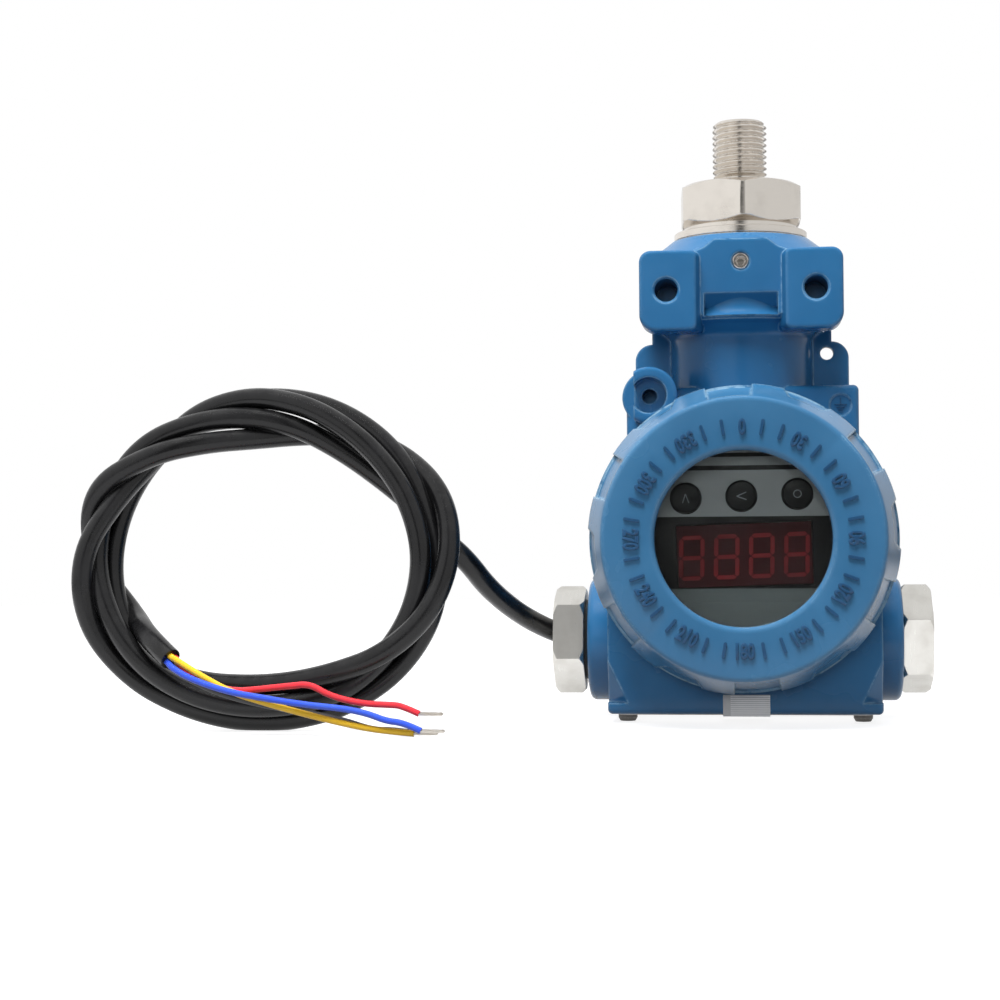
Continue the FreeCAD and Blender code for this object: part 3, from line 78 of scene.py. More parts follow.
class Tree:
    """A node tree with short ways to add nodes and set or link their inputs."""

    def __init__(self, tree: bpy.types.NodeTree) -> None:
        """Keep the tree that nodes are added to.

        Args:
            tree: The tree.
        """
        self.tree = tree
        self.into: bpy.types.NodeOutputs | None = None
        self.out: bpy.types.Node | None = None

    def socket(self, name: str, kind: str, default: object = None, out: bool = False) -> str:
        """Add a named socket to the group.

        Args:
            name: The socket's name.
            kind: Its type, without the NodeSocket prefix.
            default: Its default value, if any.
            out: True for an output.

        Returns:
            The socket's identifier.
        """
        way = "OUTPUT" if out else "INPUT"
        item = self.tree.interface.new_socket(name, in_out=way, socket_type="NodeSocket" + kind)
        if default is not None:
            item.default_value = default
        return item.identifier

    def add(self, kind: str, settings: dict | None = None, **inputs: object) -> bpy.types.Node:
        """Add a node.

        Args:
            kind: The node's type.
            settings: Properties to set on it first.
            **inputs: Values or sockets for its inputs, by name with underscores, or by place as in0, in1.

        Returns:
            The new node.
        """
        node = self.tree.nodes.new(kind)
        for key, value in (settings or {}).items():
            setattr(node, key, value)
        for key, value in inputs.items():
            numbered = key.startswith("in") and key[2:].isdigit()
            target = node.inputs[int(key[2:]) if numbered else key.replace("_", " ")]
            if isinstance(value, bpy.types.NodeSocket):
                self.tree.links.new(value, target)
            else:
                target.default_value = value
        return node

    def maths(self, operation: str, *values: object) -> bpy.types.NodeSocket:
        """Add a Math node.

        Args:
            operation: The operation's name.
            *values: Its operands, numbers or sockets.

        Returns:
            The node's output.
        """
        node = self.add("ShaderNodeMath", {"operation": operation})
        for place, value in enumerate(values):
            if isinstance(value, bpy.types.NodeSocket):
                self.tree.links.new(value, node.inputs[place])
            else:
                node.inputs[place].default_value = value
        return node.outputs[0]

    def ramp(self, value: bpy.types.NodeSocket, low: float, high: float, out_low: float = 0.0,
             out_high: float = 1.0) -> bpy.types.NodeSocket:
        """Map a value from one span to another, smoothly and clamped.

        Args:
            value: The value to map.
            low: Where the span starts.
            high: Where it ends.
            out_low: What low becomes.
            out_high: What high becomes.

        Returns:
            The mapped value.
        """
        node = self.add("ShaderNodeMapRange", {"interpolation_type": "SMOOTHSTEP"}, in0=value, in1=low,
                        in2=high, in3=out_low, in4=out_high)
        return node.outputs[0]

    def blend(self, share: object, first: object, second: object) -> bpy.types.NodeSocket:
        """Mix two colours.

        Args:
            share: How much of the second, a number or a socket.
            first: The first colour.
            second: The second colour.

        Returns:
            The mixed colour.
        """
        node = self.add("ShaderNodeMix", {"data_type": "RGBA"}, in0=share, in6=first, in7=second)
        return node.outputs[2]

    def link(self, source: bpy.types.NodeSocket, node: bpy.types.Node, name: str) -> None:
        """Link an output to a node's named input."""
        self.tree.links.new(source, node.inputs[name])


def group_node(tree: Tree, group: bpy.types.NodeTree, **inputs: object) -> bpy.types.Node:
    """Place a shader group in a material.

    Args:
        tree: The material's tree.
        group: The group.
        **inputs: Its inputs, by name.

    Returns:
        The group's node.
    """
    return tree.add("ShaderNodeGroup", {"node_tree": group}, **inputs)


class Effects:
    """Shader groups that several finishes use, each built once."""

    @staticmethod
    def start(name: str, outputs: tuple[str, ...], inputs: tuple[tuple[str, str, object], ...]) -> Tree:
        """Start a shader group.

        Args:
            name: The group's name.
            outputs: The name of each output, all of them numbers.
            inputs: Name, type and default of each input.

        Returns:
            The group's tree, with its input and output nodes kept on it.
        """
        tree = Tree(bpy.data.node_groups.new(name, "ShaderNodeTree"))
        for title, kind, default in inputs:
            tree.socket(title, kind, default)
        for title in outputs:
            tree.socket(title, "Float", out=True)
        tree.into = tree.add("NodeGroupInput").outputs
        tree.out = tree.add("NodeGroupOutput")
        return tree

    @staticmethod
    @cache
    def grain() -> bpy.types.NodeTree:
        """Fine, coarse and blotchy noise for cast, painted and moulded surfaces.

        Returns:
            The group, with outputs Height and Blotch.
        """
        tree = Effects.start("grain", ("Height", "Blotch"),
                             (("Size", "Float", 2500.0), ("Blotch Size", "Float", 45.0)))
        place = tree.add("ShaderNodeTexCoord").outputs["Object"]
        fine = tree.add("ShaderNodeTexNoise", Vector=place, Scale=tree.into["Size"], Detail=4.0,
                        Roughness=0.6)
        wide = tree.add("ShaderNodeTexNoise", Vector=place, Scale=tree.into["Blotch Size"], Detail=3.0,
                        Roughness=0.55)
        tree.link(fine.outputs[0], tree.out, "Height")
        tree.link(wide.outputs[0], tree.out, "Blotch")
        return tree.tree

    @staticmethod
    @cache
    def edge_wear() -> bpy.types.NodeTree:
        """A mask of the edges, broken up by noise: rubbed edges, and on paint also where a pale highlight is
        painted.

        Returns:
            The group, with output Mask.
        """
        tree = Effects.start("edge_wear", ("Mask",),
                             (("Width", "Float", 0.0005), ("Break Up", "Float", 600.0)))
        place = tree.add("ShaderNodeTexCoord").outputs["Object"]
        soft = tree.add("ShaderNodeBevel", {"samples": 4}, Radius=tree.into["Width"])
        plain = tree.add("ShaderNodeNewGeometry").outputs["True Normal"]
        turn = tree.add("ShaderNodeVectorMath", {"operation": "DOT_PRODUCT"}, in0=soft.outputs[0], in1=plain)
        edge = tree.ramp(turn.outputs["Value"], 0.99, 0.9)
        noise = tree.add("ShaderNodeTexNoise", Vector=place, Scale=tree.into["Break Up"], Detail=5.0)
        chips = tree.ramp(noise.outputs[0], 0.3, 0.52)
        tree.link(tree.maths("MULTIPLY", edge, chips), tree.out, "Mask")
        return tree.tree

    @staticmethod
    @cache
    def dust() -> bpy.types.NodeTree:
        """A mask of light dust on faces that look up, and in patches elsewhere.

        Returns:
            The group, with output Mask.
        """
        tree = Effects.start("dust", ("Mask",), (("Amount", "Float", 0.3), ("Patch Size", "Float", 120.0)))
        normal = tree.add("ShaderNodeNewGeometry").outputs["Normal"]
        up = tree.add("ShaderNodeSeparateXYZ", Vector=normal).outputs["Z"]
        place = tree.add("ShaderNodeTexCoord").outputs["Object"]
        patches = tree.add("ShaderNodeTexNoise", Vector=place, Scale=tree.into["Patch Size"], Detail=6.0,
                           Roughness=0.7)
        facing = tree.ramp(up, 0.1, 0.95, 0.15, 1.0)
        mask = tree.maths("MULTIPLY", facing, tree.ramp(patches.outputs[0], 0.35, 0.75))
        tree.link(tree.maths("MULTIPLY", mask, tree.into["Amount"]), tree.out, "Mask")
        return tree.tree

    @staticmethod
    @cache
    def tool_marks() -> bpy.types.NodeTree:
        """Fine lines left by turning or brushing, drawn out along two of the three directions.

        Returns:
            The group, with output Lines.
        """
        tree = Effects.start("tool_marks", ("Lines",), (("Stretch", "Vector", (60.0, 60.0, 9000.0)),))
        place = tree.add("ShaderNodeTexCoord").outputs["Object"]
        drawn = tree.add("ShaderNodeVectorMath", {"operation": "MULTIPLY"}, in0=place,
                         in1=tree.into["Stretch"])
        lines = tree.add("ShaderNodeTexNoise", Vector=drawn.outputs[0], Scale=1.0, Detail=1.0, Roughness=0.5)
        tree.link(lines.outputs[0], tree.out, "Lines")
        return tree.tree


def new_material(name: str, **constants: object) -> tuple[bpy.types.Material, Tree, bpy.types.Node]:
    """Start a material.

    Args:
        name: The material's name.
        **constants: Values for its shader's own sockets, by name with underscores.

    Returns:
        The material, its tree and its Principled shader.
    """
    material = bpy.data.materials.new(name)
    material.use_nodes = True
    shader = material.node_tree.nodes["Principled BSDF"]
    for key, value in constants.items():
        shader.inputs[key.replace("_", " ")].default_value = value
    return material, Tree(material.node_tree), shader


@dataclass(frozen=True)
class Paint:
    """A sprayed or powder-coated finish over a casting, worn at its edges, with a painted highlight along
    them.
    """

    name: str
    colour: RGB
    shade: RGB
    # The pale edge colour below is partly rubbed paint and partly a painted highlight along the edges; the
    # share and width after it set how much and how wide.
    worn: RGB
    roughness: float = 0.24
    grain: float = 0.000014
    grain_size: float = 1500.0
    wear: float = 0.6
    coat: float = 0.06
    rounding: float = 0.0012
    edge: float = 0.0007

    def material(self) -> bpy.types.Material:
        """Build the material: mottled colour, orange-peel bump, edges that are rubbed and carry a painted
        highlight, and a little dust.

        Returns:
            The material.
        """
        made, tree, shader = new_material(self.name, Coat_Weight=self.coat, Coat_Roughness=0.2,
                                          Specular_IOR_Level=0.32)
        grain = group_node(tree, Effects.grain(), Size=self.grain_size, Blotch_Size=38.0)
        wear = group_node(tree, Effects.edge_wear(), Width=self.edge, Break_Up=420.0)
        dust = group_node(tree, Effects.dust(), Amount=0.05)
        blotch = tree.ramp(grain.outputs["Blotch"], 0.3, 0.7)
        body = tree.blend(blotch, linear(*self.shade), linear(*self.colour))
        # Pale edges in the base colour: rubbed paint and a painted highlight along the edges.
        rubbed_and_highlit = tree.blend(tree.maths("MULTIPLY", wear.outputs[0], self.wear), body, linear(*self.worn))
        dusty = tree.blend(dust.outputs[0], rubbed_and_highlit, linear(176, 182, 186))
        tree.link(dusty, shader, "Base Color")
        rough = tree.ramp(grain.outputs["Blotch"], 0.25, 0.75, self.roughness - 0.04, self.roughness + 0.06)
        tree.link(tree.maths("ADD", rough, tree.maths("MULTIPLY", dust.outputs[0], 0.4)), shader, "Roughness")
        soft = tree.add("ShaderNodeBevel", {"samples": 6}, Radius=self.rounding)
        bump = tree.add("ShaderNodeBump", Height=grain.outputs["Height"], Distance=self.grain,
                        Normal=soft.outputs[0])
        tree.link(bump.outputs[0], shader, "Normal")
        return made


@dataclass(frozen=True)
class Metal:
    """A bare metal finish with tool marks, stains and bright edges."""

    name: str
    colour: RGB
    stain: RGB
    roughness: float = 0.3
    marks: tuple[float, float, float] = (60.0, 60.0, 4200.0)
    depth: float = 0.0000008
    stained: float = 0.3
    rounding: float = 0.0003

    def material(self) -> bpy.types.Material:
        """Build the material: drawn-out marks in bump and roughness, stains in the colour.

        Returns:
            The material.
        """
        made, tree, shader = new_material(self.name, Metallic=1.0)
        grain = group_node(tree, Effects.grain(), Size=3500.0, Blotch_Size=140.0)
        marks = group_node(tree, Effects.tool_marks(), Stretch=self.marks)
        wear = group_node(tree, Effects.edge_wear(), Width=0.0003, Break_Up=1400.0)
        stain = tree.maths("MULTIPLY", tree.ramp(grain.outputs["Blotch"], 0.42, 0.72), self.stained)
        body = tree.blend(stain, linear(*self.colour), linear(*self.stain))
        bright = tree.blend(tree.maths("MULTIPLY", wear.outputs[0], 0.3), body, linear(240, 236, 230))
        tree.link(bright, shader, "Base Color")
        rough = tree.ramp(marks.outputs[0], 0.3, 0.7, self.roughness - 0.03, self.roughness + 0.04)
        tree.link(tree.maths("ADD", rough, tree.maths("MULTIPLY", stain, 0.25)), shader, "Roughness")
        soft = tree.add("ShaderNodeBevel", {"samples": 4}, Radius=self.rounding)
        height = tree.maths("ADD", marks.outputs[0], tree.maths("MULTIPLY", grain.outputs["Height"], 0.1))
        bump = tree.add("ShaderNodeBump", Height=height, Distance=self.depth, Normal=soft.outputs[0])
        tree.link(bump.outputs[0], shader, "Normal")
        return made


@dataclass(frozen=True)
class Moulded:
    """A plastic or rubber finish."""

    name: str
    colour: RGB
    faded: RGB
    roughness: float = 0.45
    grain: float = 0.00001
    grain_size: float = 3000.0
    dusty: float = 0.15
    specular: float = 0.5

    def material(self) -> bpy.types.Material:
        """Build the material: moulded grain, uneven gloss, fading and dust.

        Returns:
            The material.
        """
        made, tree, shader = new_material(self.name, Specular_IOR_Level=self.specular)
        grain = group_node(tree, Effects.grain(), Size=self.grain_size, Blotch_Size=90.0)
        dust = group_node(tree, Effects.dust(), Amount=self.dusty, Patch_Size=260.0)
        fade = tree.ramp(grain.outputs["Blotch"], 0.35, 0.8)
        body = tree.blend(fade, linear(*self.colour), linear(*self.faded))
        tree.link(tree.blend(dust.outputs[0], body, linear(150, 150, 148)), shader, "Base Color")
        rough = tree.ramp(grain.outputs["Blotch"], 0.3, 0.7, self.roughness - 0.05, self.roughness + 0.07)
        tree.link(rough, shader, "Roughness")
        soft = tree.add("ShaderNodeBevel", {"samples": 4}, Radius=0.0002)
        bump = tree.add("ShaderNodeBump", Height=grain.outputs["Height"], Distance=self.grain,
                        Normal=soft.outputs[0])
        tree.link(bump.outputs[0], shader, "Normal")
        return made


@dataclass(frozen=True)
class ClearGlass:
    """Window glass that lets the lamps light what is behind it."""

    name: str = "window_pane"
    tint: RGB = (246, 250, 248)
    roughness: float = 0.0

    def material(self) -> bpy.types.Material:
        """Build the material: clear, with faint smears, and see-through to shadow rays.

        Returns:
            The material.
        """
        made, tree, shader = new_material(self.name, Base_Color=linear(*self.tint),
                                          Transmission_Weight=1.0, IOR=1.5)
        grain = group_node(tree, Effects.grain(), Size=900.0, Blotch_Size=60.0)
        smear = tree.ramp(grain.outputs["Blotch"], 0.45, 0.8, self.roughness, self.roughness + 0.012)
        tree.link(smear, shader, "Roughness")
        shadow = tree.add("ShaderNodeLightPath").outputs["Is Shadow Ray"]
        tree.link(tree.maths("SUBTRACT", 1.0, tree.maths("MULTIPLY", shadow, 0.95)), shader, "Alpha")
        return made


@dataclass(frozen=True)
class Printed:
    """A flat panel with printed bands across its height."""

    name: str
    ground: RGB
    ink: RGB
    bands: tuple[tuple[float, float], ...]
    lower: RGB = (64, 69, 70)
    lower_edge: float = 33.0
    roughness: float = 0.42

    def material(self) -> bpy.types.Material:
        """Build the material: ink where the height lies in a band, and a fine moulded grain.

        Returns:
            The material.
        """
        made, tree, shader = new_material(self.name, Specular_IOR_Level=0.12)
        place = tree.add("ShaderNodeTexCoord").outputs["Object"]
        height = tree.add("ShaderNodeSeparateXYZ", Vector=place).outputs["Z"]
        mask: object = 0.0
        for low, high in self.bands:
            inside = tree.maths("COMPARE", height, (low + high) / 2 * MM, (high - low) / 2 * MM)
            mask = tree.maths("MAXIMUM", mask, inside)
        grain = group_node(tree, Effects.grain(), Size=4000.0, Blotch_Size=120.0)
        uneven = tree.ramp(grain.outputs["Blotch"], 0.3, 0.7, 0.0, 0.12)
        ground = tree.blend(uneven, linear(*self.ground), linear(90, 92, 94))
        below = tree.maths("LESS_THAN", height, self.lower_edge * MM)
        ground = tree.blend(below, ground, linear(*self.lower))
        tree.link(tree.blend(mask, ground, linear(*self.ink)), shader, "Base Color")
        rough = tree.ramp(grain.outputs["Blotch"], 0.3, 0.7, self.roughness - 0.05, self.roughness + 0.06)
        tree.link(rough, shader, "Roughness")
        bump = tree.add("ShaderNodeBump", Height=grain.outputs["Height"], Distance=0.0000006)
        tree.link(bump.outputs[0], shader, "Normal")
        return made


@dataclass(frozen=True)
class SealLabel:
    """A white label with fine dark rules across it and a darker strip at its left."""

    name: str = "ruled_label"
    pitch: float = 0.5 * MM
    strip_edge: float = -3.4 * MM

    def material(self) -> bpy.types.Material:
        """Build the material: rules along X that repeat along the label's length.

        Returns:
            The material.
        """
        made, tree, shader = new_material(self.name, Roughness=0.5)
        place = tree.add("ShaderNodeTexCoord").outputs["Object"]
        parts = tree.add("ShaderNodeSeparateXYZ", Vector=place).outputs
        along = tree.maths("SUBTRACT", parts["Z"], parts["Y"])
        wave = tree.maths("FRACT", tree.maths("DIVIDE", along, self.pitch))
        rule = tree.maths("LESS_THAN", wave, 0.42)
        strip = tree.maths("LESS_THAN", parts["X"], self.strip_edge)
        ink = tree.maths("MAXIMUM", tree.maths("MULTIPLY", rule, 0.36), tree.maths("MULTIPLY", strip, 0.36))
        grain = group_node(tree, Effects.grain(), Size=5000.0, Blotch_Size=300.0)
        aged = tree.ramp(grain.outputs["Blotch"], 0.4, 0.8, 0.0, 0.3)
        paper = tree.blend(aged, linear(250, 251, 252), linear(222, 222, 218))
        tree.link(tree.blend(ink, paper, linear(58, 64, 74)), shader, "Base Color")
        bump = tree.add("ShaderNodeBump", Height=grain.outputs["Height"], Distance=0.000008)
        tree.link(bump.outputs[0], shader, "Normal")
        return made


@dataclass(frozen=True)
class Backdrop:
    """The pale floor of the set, which takes a faint shadow and fades to white."""

    name: str = "set_floor"
    colour: RGB = (140, 140, 142)
    near_share: float = 0.84
    far_tone: RGB = (24, 24, 25)
    gloss_reach: tuple[float, float] = (0.3, 0.6)
    gloss: float = 0.85
    fade: tuple[float, float] = (0.25, 0.8)

    def material(self) -> bpy.types.Material:
        """Build the material: a pale sheet whose own brightness shows only to the camera and in gloss.

        Returns:
            The material.
        """
        made, tree, shader = new_material(self.name, Roughness=0.45, Specular_IOR_Level=0.15,
                                          Emission_Color=(1.0, 1.0, 1.0, 1.0))
        place = tree.add("ShaderNodeTexCoord").outputs["Object"]
        noise = tree.add("ShaderNodeTexNoise", Vector=place, Scale=3.0, Detail=2.0)
        low = tuple(c - 2 for c in self.colour)
        away = tree.add("ShaderNodeVectorMath", {"operation": "LENGTH"}, in0=place).outputs["Value"]
        near = tree.blend(noise.outputs[0], linear(*low), linear(*self.colour))
        tone = tree.blend(tree.ramp(away, *self.gloss_reach), near, linear(*self.far_tone))
        tree.link(tone, shader, "Base Color")
        share = tree.ramp(away, self.fade[0], self.fade[1], self.near_share, 1.0)
        path = tree.add("ShaderNodeLightPath").outputs
        nearby = tree.ramp(away, *self.gloss_reach, self.gloss, 0.02)
        mirrored = tree.maths("MULTIPLY", path["Is Glossy Ray"], nearby)
        seen = tree.maths("MAXIMUM", path["Is Camera Ray"], mirrored)
        tree.link(tree.maths("MULTIPLY", seen, share), shader, "Emission Strength")
        return made


def link_object(name: str, data: bpy.types.ID) -> bpy.types.Object:
    """Put new data in the scene as an object at the origin.

    Args:
        name: The object's name.
        data: A mesh or a curve.

    Returns:
        The object.
    """
    made = bpy.data.objects.new(name, data)
    bpy.context.scene.collection.objects.link(made)
    return made


def mesh_object(name: str, points: list, faces: list, finish: bpy.types.Material,
                smooth: float = 30.0) -> bpy.types.Object:
    """Make a closed mesh from points and faces, with its doubles merged and its faces turned outwards.

    Args:
        name: The object's name.
        points: Points in metres.
        faces: Faces as lists of point numbers.
        finish: Its material.
        smooth: Edges that turn by less than this many degrees are shaded smooth.

    Returns:
        The object.
    """
    mesh = bpy.data.meshes.new(name)
    mesh.from_pydata([tuple(p) for p in points], [], faces)
    tidy_mesh(mesh, smooth)
    mesh.materials.append(finish)
    return link_object(name, mesh)


def tidy_mesh(mesh: bpy.types.Mesh, smooth: float = 30.0) -> None:
    """Merge a mesh's doubles, turn its faces outwards and shade its soft edges smooth.

    Args:
        mesh: The mesh.
        smooth: The angle in degrees.
    """
    work = bmesh.new()
    work.from_mesh(mesh)
    bmesh.ops.remove_doubles(work, verts=work.verts, dist=1e-6)
    bmesh.ops.dissolve_degenerate(work, edges=work.edges, dist=1e-7)
    bmesh.ops.recalc_face_normals(work, faces=work.faces)
    work.to_mesh(mesh)
    work.free()
    mesh.shade_smooth()
    mesh.set_sharp_from_angle(angle=math.radians(smooth))


def tube_faces(rings: int, sides: int, base: int = 0) -> list[list[int]]:
    """Number the faces of a tube that is closed at both ends.

    Args:
        rings: How many rings of points it has.
        sides: How many points each ring has.
        base: The number of its first point.

    Returns:
        The faces.
    """
    faces: list[list[int]] = []
    for row in range(rings - 1):
        low, high = base + row * sides, base + (row + 1) * sides
        for step in range(sides):
            nxt = (step + 1) % sides
            faces.append([low + step, low + nxt, high + nxt, high + step])
    faces.append([base + step for step in range(sides)][::-1])
    faces.append([base + (rings - 1) * sides + step for step in range(sides)])
    return faces


def stroke_mesh(name: str, strokes: list[Stroke], width: float, rise: float, finish: bpy.types.Material,
                place: Matrix) -> bpy.types.Object:
    """Make a raised mark from straight strokes.

    Args:
        name: The object's name.
        strokes: Start and end of each stroke in millimetres.
        width: Their width in millimetres.
        rise: How far they stand up in millimetres.
        finish: Their material.
        place: Where the mark goes, from flat in XY with Z up.

    Returns:
        The mark.
    """
    points: list[Vector] = []
    faces: list[list[int]] = []
    for x0, y0, x1, y1 in strokes:
        side = Vector((y0 - y1, x1 - x0, 0)).normalized() * width / 2
        base = len(points)
        for lift in (0.0, rise):
            for end in (Vector((x0, y0, lift)), Vector((x1, y1, lift))):
                points += [(end - side) * MM, (end + side) * MM]
        faces += [[base + corner for corner in face] for face in BAR_FACES]
    made = mesh_object(name, points, faces, finish)
    made.data.transform(place)
    return made


class SmoothNodes:
    """Shades the frame's own nodes smooth across their soft edges."""

    def __init__(self) -> None:
        """Build the tree that merges loose triangles and marks soft edges smooth."""
        tree = Tree(bpy.data.node_groups.new("soft_edges", "GeometryNodeTree"))
        tree.socket("Geometry", "Geometry")
        self.angle = tree.socket("Angle", "Float", 0.5)
        tree.socket("Geometry", "Geometry", out=True)
        into = tree.add("NodeGroupInput").outputs
        merged = tree.add("GeometryNodeMergeByDistance", Geometry=into["Geometry"], Distance=1e-6)
        faces = tree.add("GeometryNodeSetShadeSmooth", {"domain": "FACE"}, Geometry=merged.outputs[0],
                         Shade_Smooth=True)
        turn = tree.add("GeometryNodeInputMeshEdgeAngle").outputs["Unsigned Angle"]
        soft = tree.maths("LESS_THAN", turn, into["Angle"])
        edges = tree.add("GeometryNodeSetShadeSmooth", {"domain": "EDGE"}, Geometry=faces.outputs[0])
        tree.tree.links.new(soft, edges.inputs["Shade Smooth"])
        out = tree.add("NodeGroupOutput")
        tree.link(edges.outputs[0], out, "Geometry")
        self.tree = tree.tree

    def soften(self, node: bpy.types.Object, degrees: float = 28.0) -> None:
        """Add the tree to a frame node.

        Args:
            node: The frame's node.
            degrees: Edges that turn by less than this are smooth.
        """
        modifier = node.modifiers.new("soft_edges", "NODES")
        modifier.node_group = self.tree
        modifier[self.angle] = math.radians(degrees)


class Finishes:
    """Every finish on the transmitter, as materials."""

    def __init__(self) -> None:
        """Build the materials once."""
        self.blue = Paint("blue_enamel", (37, 100, 146), (31, 92, 137), (140, 180, 208)).material()
        # The covers' blue is a paler copy of the housing's: painted light on the covers' faces. Their wider
        # pale edges are wear and a painted highlight.
        self.cover_blue = Paint("blue_enamel_cover", (54, 108, 148), (48, 100, 139), (160, 196, 218),
                                edge=0.001).material()
        # The raised marks' blue is a darker copy of the housing's: painted shade round the numerals, ticks
        # and earth symbol.
        self.dial_blue = Paint("blue_enamel_raised", (24, 70, 108), (20, 62, 98), (96, 142, 178), wear=0.1,
                               rounding=0.0002).material()
        self.turned = Metal("turned_stainless", (226, 220, 212), (192, 184, 174), 0.17).material()
        self.hexagon = Metal("milled_stainless", (228, 222, 214), (206, 199, 190), 0.18,
                             marks=(300.0, 300.0, 2600.0), depth=0.0000006).material()
        self.plated = Metal("plated_brass", (228, 226, 220), (186, 180, 170), 0.3,
                            marks=(4200.0, 90.0, 90.0)).material()
        self.screw = Metal("blackened_steel", (92, 90, 88), (60, 56, 52), 0.42, stained=0.5).material()
        self.steel = Metal("plain_steel", (150, 148, 146), (104, 96, 88), 0.36).material()
        self.plate = Metal("brushed_plate", (168, 168, 168), (120, 118, 116), 0.4,
                           marks=(40.0, 4000.0, 4000.0)).material()
        self.rubber = Moulded("black_rubber", (26, 26, 27), (40, 40, 41), 0.6, dusty=0.1).material()
        self.plastic = Moulded("black_plastic", (24, 25, 27), (36, 37, 39), 0.42).material()
        self.button = Moulded("key_cap", (9, 10, 11), (12, 13, 14), 0.3,
                              grain=0.0000006, dusty=0.0, specular=0.12).material()
        self.board = Moulded("circuit_board", (22, 74, 52), (30, 88, 62), 0.36, dusty=0.0).material()
        self.ribbon = Moulded("flat_ribbon", (150, 152, 156), (132, 134, 140), 0.4, dusty=0.0).material()
        self.lens = Moulded("red_filter", (40, 14, 16), (34, 12, 14), 0.2,
                            grain=0.0000003, dusty=0.0, specular=0.12).material()
        self.segment = Moulded("unlit_segment", (86, 21, 25), (68, 18, 22), 0.4,
                               grain=0.0000003, dusty=0.0, specular=0.12).material()
        self.symbol = Moulded("pale_print", (112, 116, 120), (98, 102, 106), 0.45,
                              grain=0.0000006, dusty=0.0, specular=0.12).material()
        self.jacket = Moulded("cable_jacket", (13, 13, 14), (20, 20, 22), 0.25,
                              grain=0.000004, grain_size=2200.0, dusty=0.05, specular=0.4).material()
        self.tinned = Metal("tinned_copper", (222, 216, 206), (190, 168, 140), 0.3).material()
        self.fascia = Printed("display_panel", (112, 115, 117), (9, 9, 10),
                              ((32.8, 49.8), (60.75, 61.85), (63.9, 64.85))).material()
        self.label = SealLabel().material()
        self.glass = ClearGlass().material()


class Core(Enum):
    """The four cores: name, colour and faded colour."""

    YELLOW = ("wire_yellow", (236, 190, 42), (222, 176, 40))
    BLUE = ("wire_blue", (48, 82, 214), (58, 92, 206))
    RED = ("wire_red", (226, 48, 60), (212, 50, 58))
    BLACK = ("wire_black", (44, 44, 46), (54, 54, 56))


